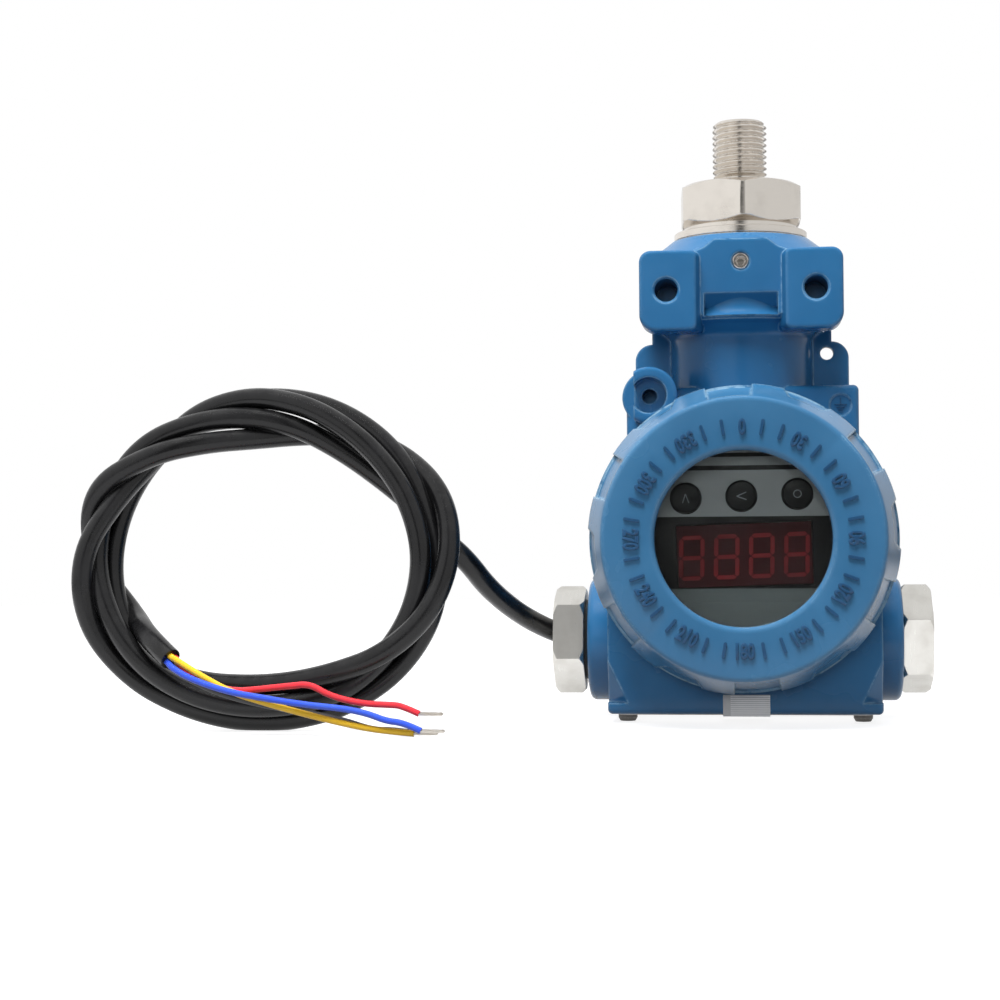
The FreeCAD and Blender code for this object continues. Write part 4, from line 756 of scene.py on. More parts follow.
@dataclass
class SignalCable:
    """The four-core cable: gland to coil, the loose coil, its short tail and the stripped cores."""

    finishes: Finishes
    radius: float = 2.6
    core_radius: float = 0.74
    tip_radius: float = 0.42
    tip_length: float = 6.0
    strands: int = 7
    strand_spread: float = 0.66
    strand_twist: float = 2.6
    strand_step: float = 0.25
    strand_sunk: float = 0.4
    strand_rings: int = 9
    strand_sides: int = 8
    centre: Vector = field(default_factory=lambda: Vector((-112.0, -46.5, 40.8)))
    lean: float = 9.0
    step: int = 20
    first: int = 20
    lead: tuple[Point, ...] = (
        (-33, 0, 19.1), (-42.4, 0, 19.1), (-49.8, -3.0, 21.7), (-56.5, -14, 26.4), (-62.2, -26, 32.6),
        (-66.4, -36.4, 40.0), (-71.2, -38.4, 44.4),
    )
    # Reach from the centre and depth towards the front at each step: fitted values, not worked out here.
    turns: tuple[tuple[float, float], ...] = (
        (36.8, -7.0), (32.1, -5.0), (31.0, -2.7), (32.3, 0.7), (34.9, 1.5), (38.3, 1.9),
        (42.8, 2.1), (44.4, -1.0), (43.6, 0.5), (41.5, 2.6), (39.8, 3.3), (37.8, 3.3),
        (36.4, 2.9), (36.1, 2.1), (37.0, 0.7), (36.8, -0.7), (37.2, 0.4), (37.3, 2.9),
        (36.2, 3.7), (35.4, 3.4), (35.9, 3.0), (37.8, 2.2), (40.3, 0.2), (41.7, -2.3),
        (39.4, -1.9), (40.6, 3.2), (45.5, 5.5), (47.4, 1.8), (44.7, -2.8), (41.1, -3.3),
        (39.4, -2.6), (39.0, -2.5), (39.7, -3.9), (40.7, -4.4), (41.3, -3.8), (40.4, -2.8),
        (38.8, -1.5), (39.0, -1.1), (39.3, -2.7), (40.1, -4.3), (41.3, -5.7), (42.0, -7.6),
        (41.7, -6.7), (41.3, -5.1), (41.1, -4.1), (40.3, -2.5), (39.0, -2.5), (34.4, -0.8),
        (31.2, 0.5), (30.7, 1.7), (32.6, 3.7), (37.3, 4.5), (41.8, 4.2), (44.2, 3.2),
        (44.0, -0.4), (40.3, -6.2), (36.1, -6.9), (31.5, -4.7), (29.6, -0.2), (31.9, 3.5),
        (38.1, 5.6), (47.2, 4.0), (46.2, -6.4), (37.5, -7.0),
    )
    tail: tuple[Point, ...] = ((-139.6, -56.4, 22.4), (-132.6, -61.0, 17.4))
    # These routes are fitted values too.
    cores: dict[Core, tuple[Point, ...]] = field(default_factory=lambda: {
        Core.YELLOW: (
            (-133.4, -61.2, 18.8), (-132.1, -62, 17.9), (-130.6, -61.8, 17), (-125.9, -63, 14.3),
            (-118.2, -63.7, 10.2), (-110.1, -64.1, 7.7), (-101.1, -64.5, 5.3), (-90.3, -65, 2.8),
            (-81.9, -65.2, 1.3), (-74.5, -65.5, 0.8),
        ),
        Core.BLUE: (
            (-134.2, -61.1, 17.5), (-132.9, -61.9, 16.6), (-131.7, -62.9, 15.4), (-126.5, -64.3, 12.8),
            (-117.7, -65.4, 10.1), (-109.7, -65.7, 8.8), (-100.8, -66, 7.4), (-90.3, -66.1, 6.4),
            (-84.9, -66.3, 5.3), (-80.7, -66.5, 3.7), (-76.6, -66.6, 3.3), (-72.7, -66.9, 1.5),
        ),
        Core.RED: (
            (-132.7, -59.8, 18.5), (-131.4, -60.6, 17.6), (-130.8, -61.1, 16.5), (-125.4, -61.5, 12.6),
            (-117.7, -61.9, 9.9), (-110.6, -62, 10.6), (-103.9, -62.3, 11.3), (-99.1, -62.7, 11.8),
            (-94.3, -63.7, 9.1), (-86.7, -64.4, 7.4), (-80.2, -64.6, 7.2), (-77.4, -64.6, 7),
            (-73.4, -64.9, 5.2),
        ),
        Core.BLACK: (
            (-133.6, -59.7, 17.2), (-132.3, -60.6, 16.3), (-132.3, -60.9, 15.3), (-125.4, -61.4, 11.2),
            (-115.8, -62.1, 8), (-103.8, -62.8, 5.8), (-92, -63.2, 3.8), (-84.5, -63.7, 1.4),
            (-79.4, -63.7, 1.4), (-75.2, -63.9, 0.8),
        ),
    })

    def route(self) -> list[Vector]:
        """Work out the cable's control points.

        Returns:
            Points in millimetres, from inside the gland to the end of the jacket.
        """
        lean = math.radians(self.lean)
        up = Vector((0, math.sin(lean), math.cos(lean)))
        near = Vector((0, -math.cos(lean), math.sin(lean)))
        points = [Vector(p) for p in self.lead]
        for count, (reach, depth) in enumerate(self.turns):
            angle = math.radians(self.first + count * self.step)
            across = Vector((reach * math.cos(angle), 0, 0))
            points.append(self.centre + across + up * reach * math.sin(angle) + near * depth)
        return points + [Vector(p) for p in self.tail]

    @staticmethod
    def spline(name: str, points: list[Vector], radius: float) -> bpy.types.Object:
        """Make a round cord on one smooth curve.

        Args:
            name: The object's name.
            points: Control points in millimetres.
            radius: The cord's radius in millimetres.

        Returns:
            The curve's object.
        """
        curve = bpy.data.curves.new(name, "CURVE")
        curve.dimensions = "3D"
        curve.resolution_u = 10
        line = curve.splines.new("NURBS")
        line.points.add(len(points) - 1)
        for spot, point in zip(line.points, points):
            spot.co = (*(point * MM), 1.0)
        line.order_u = 3
        line.use_endpoint_u = True
        curve.bevel_depth = radius * MM
        curve.bevel_resolution = 6
        curve.use_fill_caps = True
        return link_object(name, curve)

    @staticmethod
    def centreline(cord: bpy.types.Object) -> list[Vector]:
        """Read a cord's smooth centreline.

        Args:
            cord: The curve's object.

        Returns:
            Points in metres, in order.
        """
        depth = cord.data.bevel_depth
        cord.data.bevel_depth = 0.0
        bpy.context.view_layer.update()
        mesh = bpy.data.meshes.new_from_object(cord.evaluated_get(bpy.context.evaluated_depsgraph_get()))
        points = [v.co.copy() for v in mesh.vertices]
        bpy.data.meshes.remove(mesh)
        cord.data.bevel_depth = depth
        return points

    def tip(self, name: str, line: list[Vector]) -> bpy.types.Object:
        """Make the twisted tinned strands on the end of a core.

        Args:
            name: The object's name.
            line: The core's centreline in metres.

        Returns:
            The strands as one mesh.
        """
        heading = line[-1] - line[-3]
        heading = Vector((heading.x, heading.y, max(heading.z, 0.0))).normalized()
        side = heading.orthogonal().normalized()
        third = heading.cross(side)
        strand = self.tip_radius / 3 * MM
        points: list[Vector] = []
        faces: list[list[int]] = []
        rows, ring = self.strand_rings, self.strand_sides
        for number in range(self.strands):
            base = len(points)
            spread = 0.0 if number == 0 else self.tip_radius * self.strand_spread * MM
            length = (self.tip_length - self.strand_step * (number % 3)) * MM
            for row in range(rows):
                along = length * row / (rows - 1)
                turn = math.tau * number / (self.strands - 1) + self.strand_twist * row / (rows - 1)
                middle = line[-1] + heading * (along - self.strand_sunk * MM)
                middle = middle + (side * math.cos(turn) + third * math.sin(turn)) * spread
                for step in range(ring):
                    angle = math.tau * step / ring
                    points.append(middle + (side * math.cos(angle) + third * math.sin(angle)) * strand)
            faces += tube_faces(rows, ring, base)
        return mesh_object(name, points, faces, self.finishes.tinned)

    def make(self) -> None:
        cable = self.spline("signal_cable", self.route(), self.radius)
        cable.data.materials.append(self.finishes.jacket)
        line = self.centreline(cable)
        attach(cable, "housing")
        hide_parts("cable_lead", "cable_coil", "cable_tail")
        for core, points in self.cores.items():
            node, colour, faded = core.value
            wire = self.spline(node + "_core", [Vector(p) for p in points], self.core_radius)
            wire.data.materials.append(Moulded(node + "_sheath", colour, faded, 0.34, dusty=0.0).material())
            run = self.centreline(wire)
            tip = self.tip(node + "_tip", run)
            for piece, slot in ((wire, node.replace("wire_", "core_")), (tip, "tinned")):
                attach(piece, "housing")
            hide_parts(node)
            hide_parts("wire_tips")


@dataclass(frozen=True)
class Lamp:
    """A soft rectangular lamp that lights the set but doesn't show in gloss: metres and watts."""

    name: str
    place: Point
    size: tuple[float, float]
    power: float
    aim: Point = (0, 0, 0.06)

    def make(self) -> None:
        """Add the lamp to the scene."""
        data = bpy.data.lights.new(self.name, "AREA")
        data.shape = "RECTANGLE"
        data.size, data.size_y = self.size
        data.energy = self.power
        lamp = link_object(self.name, data)
        lamp.location = self.place
        lamp.visible_glossy = False
        lamp.rotation_euler = (Vector(self.aim) - Vector(self.place)).to_track_quat("-Z", "Y").to_euler()


@dataclass
class Studio:
    """The camera, the lamps and the pale set."""

    camera_place: tuple[float, float, float] = (0.0005, -0.512, 0.043)
    lens: float = 71.6
    yaw: float = 7.02
    pitch: float = 1.35
    roll: float = -0.39
    ambient: float = 0.02
    gloss_left: float = 1.0
    gloss_right: float = 0.76
    strip: tuple[float, float] = (0.06, 0.22)
    strip_depth: float = 0.93
    lamps: tuple[Lamp, ...] = (
        Lamp("key_front", (-0.16, -0.42, 1.0), (0.45, 0.45), 17.0),
        Lamp("fill", (-0.1, -1.1, 0.28), (0.5, 0.3), 2.9),
        Lamp("key_left", (-0.85, -0.35, 0.55), (0.4, 0.7), 1.8),
        Lamp("key_right", (0.85, -0.3, 0.5), (0.4, 0.7), 1.2),
        Lamp("top", (0.0, -0.05, 0.95), (0.9, 0.6), 5.0, aim=(0, 0, 0.05)),
        Lamp("rear", (0.2, 0.9, 0.6), (0.8, 0.5), 1.6),
    )
    floor_reach: float = 1.1
    floor_rings: int = 12
    floor_sides: int = 48

    def camera(self) -> None:
        """Place the camera and make it the scene's own."""
        data = bpy.data.cameras.new("camera")
        data.lens = self.lens
        data.sensor_width = 36.0
        data.clip_start = 0.01
        made = link_object("camera", data)
        turn = Matrix.Rotation(math.radians(self.yaw), 4, "Z")
        turn = turn @ Matrix.Rotation(math.radians(90 + self.pitch), 4, "X")
        turn = turn @ Matrix.Rotation(math.radians(self.roll), 4, "Z")
        made.matrix_world = Matrix.Translation(self.camera_place) @ turn
        bpy.context.scene.camera = made

    def stage(self) -> None:
        """Build the pale floor, a round sheet that fades into the white surroundings."""
        reach = self.floor_reach
        rings, sides = self.floor_rings, self.floor_sides
        points = [(0.0, 0.0, 0.0)]
        faces: list[list[int]] = []
        for ring in range(1, rings + 1):
            for step in range(sides):
                angle = math.tau * step / sides
                radius = reach * ring / rings
                points.append((radius * math.cos(angle), radius * math.sin(angle), 0.0))
        for step in range(sides):
            nxt = (step + 1) % sides
            faces.append([0, 1 + step, 1 + nxt])
            for ring in range(rings - 1):
                low, high = 1 + ring * sides, 1 + (ring + 1) * sides
                faces.append([low + step, high + step, high + nxt, low + nxt])
        mesh = bpy.data.meshes.new("floor")
        mesh.from_pydata(points, [], faces)
        mesh.materials.append(Backdrop().material())
        link_object("floor", mesh)

    def surroundings(self) -> None:
        """Build the surroundings: white to the camera, and pale in gloss but for a dark strip in front."""
        world = bpy.data.worlds.new("studio")
        world.use_nodes = True
        tree = Tree(world.node_tree)
        path = tree.add("ShaderNodeLightPath").outputs
        direction = tree.add("ShaderNodeTexCoord").outputs["Generated"]
        parts = tree.add("ShaderNodeSeparateXYZ", Vector=direction).outputs
        facing = tree.ramp(parts["Y"], -0.35, -0.8)
        strip = tree.ramp(tree.maths("ABSOLUTE", parts["X"]), self.strip[1], self.strip[0])
        sides = tree.ramp(parts["X"], -0.6, 0.6, self.gloss_left, self.gloss_right)
        ahead = tree.maths("MULTIPLY", facing, strip)
        dark = tree.maths("SUBTRACT", 1.0, tree.maths("MULTIPLY", ahead, self.strip_depth))
        outside = tree.maths("SUBTRACT", 1.0, path["Is Transmission Ray"])
        mirrored = tree.maths("MULTIPLY", path["Is Glossy Ray"], outside)
        gloss = tree.maths("MULTIPLY", mirrored, tree.maths("MULTIPLY", sides, dark))
        level = tree.maths("MAXIMUM", tree.maths("MAXIMUM", path["Is Camera Ray"], gloss), self.ambient)
        background = world.node_tree.nodes["Background"]
        background.inputs["Color"].default_value = (1.0, 1.0, 1.0, 1.0)
        tree.link(level, background, "Strength")
        bpy.context.scene.world = world

    def make(self) -> None:
        """Set up the whole studio."""
        self.camera()
        self.stage()
        self.surroundings()
        for lamp in self.lamps:
            lamp.make()
        bpy.context.scene.view_settings.view_transform = "Standard"


@dataclass
class FrameDress:
    """Gives the frame's own nodes their finishes and smooth shading."""

    finishes: Finishes
    shading: SmoothNodes = field(default_factory=SmoothNodes)

    def plan(self) -> dict[str, bpy.types.Material]:
        """Sort the nodes that keep their own mesh by finish.

        Returns:
            Each node's finish, by its name.
        """
        made = self.finishes
        groups = {
            made.blue: ("housing",),
            made.cover_blue: ("front_cover", "rear_cover"),
            made.rubber: ("front_cover_oring", "rear_cover_oring", "gland_gasket", "gland_grommet",
                          "blanking_plug_seal", "module_oring", "glass_gasket"),
            made.turned: ("lock_screw", "module_body", "isolating_diaphragm", "sensor_capsule"),
            made.plated: ("gland_body", "blanking_plug"),
            made.steel: ("terminal_screws", "glass_retaining_ring", "board_spacers", "partition_standoffs"),
            made.screw: ("nameplate_screws",),
            made.plate: ("nameplate",),
            made.label: ("seal_label",),
            made.glass: ("window_glass",),
            made.fascia: ("display_fascia",),
            made.lens: ("display_lens",),
            made.plastic: ("led_digit_block", "key_switches", "board_connector", "feedthrough_header",
                           "terminal_block"),
            made.board: ("display_board", "main_board"),
            made.ribbon: ("sensor_ribbon",),
            made.button: ("button_left", "button_middle", "button_right"),
        }
        return {node: finish for finish, nodes in groups.items() for node in nodes}

    def make(self) -> None:
        """Dress the nodes."""
        for name, finish in self.plan().items():
            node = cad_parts[name]
            if not node.material_slots:
                node.data.materials.append(finish)
            for slot in node.material_slots:
                slot.material = finish
            self.shading.soften(node)
            LOG.info("dressed %s", name)


@cache
def flat_bar() -> bpy.types.NodeTree:
    """Build the node group of one flat bar with cut or rounded corners, closed all round.

    Returns:
        The group, with inputs Length, Width, Thickness and Corner Steps.
    """
    tree = Tree(bpy.data.node_groups.new("flat_bar", "GeometryNodeTree"))
    tree.socket("Length", "Float", 0.003)
    tree.socket("Width", "Float", 0.0006)
    tree.socket("Thickness", "Float", 0.0003)
    tree.socket("Corner Steps", "Int", 1)
    tree.socket("Geometry", "Geometry", out=True)
    into = tree.add("NodeGroupInput").outputs
    outline = tree.add("GeometryNodeCurvePrimitiveQuadrilateral", Width=into["Length"], Height=into["Width"])
    corner = tree.maths("MULTIPLY", into["Width"], 0.46)
    cut = tree.add("GeometryNodeFilletCurve", {"mode": "POLY"}, Curve=outline.outputs[0],
                   Count=into["Corner Steps"], Radius=corner)
    sheet = tree.add("GeometryNodeFillCurve", {"mode": "NGONS"}, Curve=cut.outputs[0])
    rise = tree.add("ShaderNodeCombineXYZ", Z=into["Thickness"])
    top = tree.add("GeometryNodeExtrudeMesh", Mesh=sheet.outputs[0], Offset=rise.outputs[0], Offset_Scale=1.0,
                   Individual=False)
    bottom = tree.add("GeometryNodeFlipFaces", Mesh=sheet.outputs[0])
    both = tree.add("GeometryNodeJoinGeometry")
    tree.tree.links.new(top.outputs[0], both.inputs[0])
    tree.tree.links.new(bottom.outputs[0], both.inputs[0])
    closed = tree.add("GeometryNodeMergeByDistance", Geometry=both.outputs[0], Distance=1e-7)
    tree.link(closed.outputs[0], tree.add("NodeGroupOutput"), "Geometry")
    return tree.tree


def one_material(mesh: bpy.types.Mesh, finish: bpy.types.Material) -> None:
    """Give every face of a mesh the one material.

    Args:
        mesh: The mesh.
        finish: Its material.
    """
    mesh.materials.clear()
    mesh.materials.append(finish)
    for face in mesh.polygons:
        face.material_index = 0


def grown(name: str, tree: Tree, values: dict[str, object], place: Matrix,
          smooth: float = 30.0) -> bpy.types.Object:
    """Run a Geometry Nodes tree and keep its result as a plain mesh.

    Args:
        name: The new object's name.
        tree: The tree, whose first output is its geometry.
        values: The modifier's inputs, by socket identifier.
        place: Where the result goes.
        smooth: Edges that turn by less than this many degrees are shaded smooth.

    Returns:
        The object, at the origin with its place in its mesh.
    """
    seed = link_object(name + "_seed", bpy.data.meshes.new(name + "_seed"))
    modifier = seed.modifiers.new(name, "NODES")
    modifier.node_group = tree.tree
    for key, value in values.items():
        modifier[key] = value
    bpy.context.view_layer.update()
    mesh = bpy.data.meshes.new_from_object(seed.evaluated_get(bpy.context.evaluated_depsgraph_get()))
    bpy.data.objects.remove(seed)
    mesh.name = name
    mesh.transform(place)
    one_material(mesh, next(m for m in mesh.materials if m))
    tidy_mesh(mesh, smooth)
    return link_object(name, mesh)


def joined(name: str, parts: list[bpy.types.Object]) -> bpy.types.Object:
    """Join meshes that sit at the origin into one object.

    Args:
        name: The new object's name.
        parts: The meshes' objects, which are removed.

    Returns:
        The object.
    """
    work = bmesh.new()
    for part in parts:
        work.from_mesh(part.data)
    mesh = bpy.data.meshes.new(name)
    work.to_mesh(mesh)
    work.free()
    one_material(mesh, parts[0].data.materials[0])
    for part in parts:
        bpy.data.objects.remove(part)
    mesh.shade_smooth()
    mesh.set_sharp_from_angle(angle=math.radians(30.0))
    return link_object(name, mesh)


NUMERAL_BEVEL = 0.18
NUMERAL_WEIGHT = 0.026


def raised_text(name: str, words: str, size: float, height: float, place: Matrix,
                finish: bpy.types.Material) -> bpy.types.Object:
    """Make raised characters as a mesh.

    Args:
        name: The object's name.
        words: The characters.
        size: Their size in metres.
        height: How far they stand up.
        place: Where they go, from flat in XY with Z up.
        finish: Their material.

    Returns:
        The object.
    """
    data = bpy.data.curves.new(name, "FONT")
    data.body = words
    data.size = size
    data.align_x = "CENTER"
    data.align_y = "CENTER"
    data.extrude = height / 2
    data.bevel_depth = height * NUMERAL_BEVEL
    data.bevel_resolution = 1
    data.resolution_u = 4
    data.offset = size * NUMERAL_WEIGHT
    words_object = link_object(name + "_words", data)
    bpy.context.view_layer.update()
    mesh = bpy.data.meshes.new_from_object(words_object.evaluated_get(bpy.context.evaluated_depsgraph_get()))
    bpy.data.objects.remove(words_object)
    mesh.transform(Matrix.Translation((0, 0, height / 2)))
    mesh.transform(place)
    one_material(mesh, finish)
    tidy_mesh(mesh, 35.0)
    return link_object(name, mesh)


@dataclass
class WindowCover:
    """The front cover's ring: a raised dial of numerals and ticks round the window, in a darker blue that
    paints their shade.
    """

    finishes: Finishes
    face: float = -50.0
    middle: float = 26.1
    numeral: float = 4.9
    tick: tuple[float, float, float] = (3.8, 0.75, 0.5)
    rise: float = 0.58
    numbers: int = 12
    between: int = 3
    sunk: float = 0.02
    narrowed: float = 0.66

    def seat(self) -> Matrix:
        """Middle of the ring's front, from flat in XY."""
        return Matrix.Translation((0, (self.face - self.sunk) * MM, AXIS_Z)) @ FACING_FRONT

    def spot(self, clock: float) -> Matrix:
        """Place a mark on the ring, its top towards the window.

        Args:
            clock: Degrees clockwise from the top.

        Returns:
            The mark's place, from flat in XY.
        """
        angle, reach = math.radians(clock), self.middle * MM
        turn = Matrix.Rotation(math.radians(180 - clock), 4, "Z")
        out = Matrix.Translation((reach * math.sin(angle), reach * math.cos(angle), 0))
        return self.seat() @ out @ turn

    def ticks(self) -> bpy.types.Object:
        """Make the ticks between the numerals with Geometry Nodes.

        Returns:
            The ticks as one mesh.
        """
        tree = Tree(bpy.data.node_groups.new("dial_ticks", "GeometryNodeTree"))
        keys = {
            "count": tree.socket("Count", "Int", 60),
            "radius": tree.socket("Radius", "Float", 0.026),
            "length": tree.socket("Length", "Float", 0.003),
            "width": tree.socket("Width", "Float", 0.0006),
            "height": tree.socket("Height", "Float", 0.0003),
            "skip": tree.socket("Skip Every", "Int", 5),
        }
        tree.socket("Geometry", "Geometry", out=True)
        into = tree.add("NodeGroupInput").outputs
        ring = tree.add("GeometryNodeMeshCircle", Vertices=into["Count"], Radius=into["Radius"])
        bar = tree.add("GeometryNodeGroup", {"node_tree": flat_bar()}, Length=into["Length"],
                       Width=into["Width"], Thickness=into["Height"], Corner_Steps=3)
        index = tree.add("GeometryNodeInputIndex").outputs[0]
        step = tree.maths("DIVIDE", math.tau, into["Count"])
        turn = tree.add("ShaderNodeCombineXYZ", Z=tree.maths("MULTIPLY", index, step))
        kept = tree.maths("GREATER_THAN", tree.maths("MODULO", index, into["Skip Every"]), 0.5)
        copies = tree.add("GeometryNodeInstanceOnPoints", Points=ring.outputs[0], Instance=bar.outputs[0],
                          Rotation=turn.outputs[0], Selection=kept)
        plain = tree.add("GeometryNodeRealizeInstances", Geometry=copies.outputs[0])
        dressed = tree.add("GeometryNodeSetMaterial", Geometry=plain.outputs[0],
                           Material=self.finishes.dial_blue)
        tree.link(dressed.outputs[0], tree.add("NodeGroupOutput"), "Geometry")
        length, width, height = self.tick
        values = {keys["count"]: self.numbers * self.between, keys["radius"]: self.middle * MM,
                  keys["length"]: length * MM, keys["width"]: width * MM, keys["height"]: height * MM,
                  keys["skip"]: self.between}
        return grown("cover_ticks", tree, values, self.seat())

    def make(self) -> None:
        """Build the dial."""
        marks = [self.ticks()]
        for number in range(self.numbers):
            clock = 360.0 * number / self.numbers
            words = str(int(clock))
            place = self.spot(clock) @ Matrix.Scale(self.narrowed, 4, (1, 0, 0))
            marks.append(raised_text(f"numeral_{words}", words, self.numeral * MM, self.rise * MM, place,
                                     self.finishes.dial_blue))
        dial = joined("cover_dial", marks)
        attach(dial, "front_cover")
        LOG.info("cover_dial %d faces", len(dial.data.polygons))


@dataclass
class Display:
    """The four unlit digits on the red filter and the marks on the keys."""

    finishes: Finishes
    turn: float = 1.8
    front: float = -38.0
    digit: tuple[float, float] = (5.0, 9.6)
    pitch: float = 8.2
    count: int = 4
    sunk: float = 0.02
    slant: float = 0.05
    segment: tuple[float, float] = (1.0, 0.1)
    centre: tuple[float, float] = (0.1, -4.1)
    key_pitch: float = 13.1
    key_up: float = 10.1
    key_front: float = -38.5
    stroke: tuple[float, float] = (0.26, 0.06)
    dot_radius: float = 0.9
    dot_steps: int = 14
    dot_span: float = 0.45

    def panel(self, front: float) -> Matrix:
        """Place marks on the panel, about the cover's axis.

        Args:
            front: Where their backs lie along Y, in millimetres.

        Returns:
            Their place, from flat in XY.
        """
        lean = Matrix.Rotation(math.radians(self.turn), 4, "Z")
        return Matrix.Translation((0, (front - self.sunk) * MM, AXIS_Z)) @ FACING_FRONT @ lean

    def digits(self) -> bpy.types.Object:
        """Make the seven-segment digits with Geometry Nodes.

        Returns:
            The digits as one mesh.
        """
        wide, tall = (value * MM for value in self.digit)
        tree = Tree(bpy.data.node_groups.new("unlit_digits", "GeometryNodeTree"))
        keys = {
            "wide": tree.socket("Digit Width", "Float", 0.005),
            "tall": tree.socket("Digit Height", "Float", 0.01),
            "bar": tree.socket("Segment Width", "Float", 0.001),
            "thick": tree.socket("Thickness", "Float", 0.0001),
            "pitch": tree.socket("Pitch", "Float", 0.008),
            "count": tree.socket("Digits", "Int", 4),
        }
        tree.socket("Geometry", "Geometry", out=True)
        into = tree.add("NodeGroupInput").outputs
        half = tree.maths("MULTIPLY", into["Digit Height"], 0.5)
        flat = tree.maths("SUBTRACT", into["Digit Width"], tree.maths("MULTIPLY", into["Segment Width"], 0.3))
        upright = tree.maths("SUBTRACT", half, tree.maths("MULTIPLY", into["Segment Width"], 0.3))
        level_bar, upright_bar = (
            tree.add("GeometryNodeGroup", {"node_tree": flat_bar()}, Length=length,
                     Width=into["Segment Width"], Thickness=into["Thickness"], Corner_Steps=1)
            for length in (flat, upright))
        both = tree.add("GeometryNodeJoinGeometry")
        level = [(0, up, False) for up in (1, 0, -1)]
        standing_bars = [(across, up, True) for up in (1, -1) for across in (-1, 1)]
        for across, up, standing in level + standing_bars:
            side = tree.maths("MULTIPLY", into["Digit Width"], across * 0.5)
            height = tree.maths("MULTIPLY", half, up * (0.5 if standing else 1.0))
            offset = tree.add("ShaderNodeCombineXYZ", X=side, Y=height)
            bar = upright_bar if standing else level_bar
            spot = tree.add("GeometryNodeTransform", Geometry=bar.outputs[0], Translation=offset.outputs[0])
            spot.inputs["Rotation"].default_value = (0.0, 0.0, math.pi / 2 if standing else 0.0)
            tree.tree.links.new(spot.outputs[0], both.inputs[0])
        gaps = tree.maths("SUBTRACT", into["Digits"], 1.0)
        reach = tree.maths("MULTIPLY", gaps, tree.maths("MULTIPLY", into["Pitch"], -0.5))
        start = tree.add("ShaderNodeCombineXYZ", X=reach)
        step = tree.add("ShaderNodeCombineXYZ", X=into["Pitch"])
        line = tree.add("GeometryNodeMeshLine", Count=into["Digits"], Start_Location=start.outputs[0],
                        Offset=step.outputs[0])
        copies = tree.add("GeometryNodeInstanceOnPoints", Points=line.outputs[0], Instance=both.outputs[0])
        plain = tree.add("GeometryNodeRealizeInstances", Geometry=copies.outputs[0])
        dressed = tree.add("GeometryNodeSetMaterial", Geometry=plain.outputs[0],
                           Material=self.finishes.segment)
        tree.link(dressed.outputs[0], tree.add("NodeGroupOutput"), "Geometry")
        width, thick = self.segment
        values = {keys["wide"]: wide, keys["tall"]: tall, keys["bar"]: width * MM, keys["thick"]: thick * MM,
                  keys["pitch"]: self.pitch * MM, keys["count"]: self.count}
        sheared = Matrix.Identity(4)
        sheared[0][1] = self.slant
        across, up = self.centre
        place = self.panel(self.front) @ Matrix.Translation((across * MM, up * MM, 0)) @ sheared
        return grown("display_digits", tree, values, place)

    def marks(self) -> dict[str, tuple[list[Stroke], int]]:
        """Draw the keys' marks.

        Returns:
            Each key's strokes, in millimetres from its middle, and its place in the row.
        """
        radius, steps = self.dot_radius, self.dot_steps
        chevron = [(-0.75, -1.15, 0.0, 1.05), (0.0, 1.05, 0.75, -1.15)]
        sideways = [(1.2, 0.9, -1.1, 0.0), (-1.1, 0.0, 1.2, -0.9)]
        starts = [math.tau * step / steps for step in range(steps)]
        dot = [(radius * math.cos(start), radius * math.sin(start),
                radius * math.cos(start + self.dot_span), radius * math.sin(start + self.dot_span))
               for start in starts]
        return {"button_left": (chevron, -1), "button_middle": (sideways, 0), "button_right": (dot, 1)}

    def make(self) -> None:
        """Build the digits and the marks."""
        digits = self.digits()
        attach(digits, "housing")
        LOG.info("display_digits %d faces", len(digits.data.polygons))
        width, rise = self.stroke
        for body, (strokes, place) in self.marks().items():
            shift = Matrix.Translation((place * self.key_pitch * MM, self.key_up * MM, 0))
            mark = stroke_mesh(body + "_mark", strokes, width, rise, self.finishes.symbol,
                               self.panel(self.key_front) @ shift)
            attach(mark, body)
            LOG.info("%s_mark %d strokes", body, len(strokes))


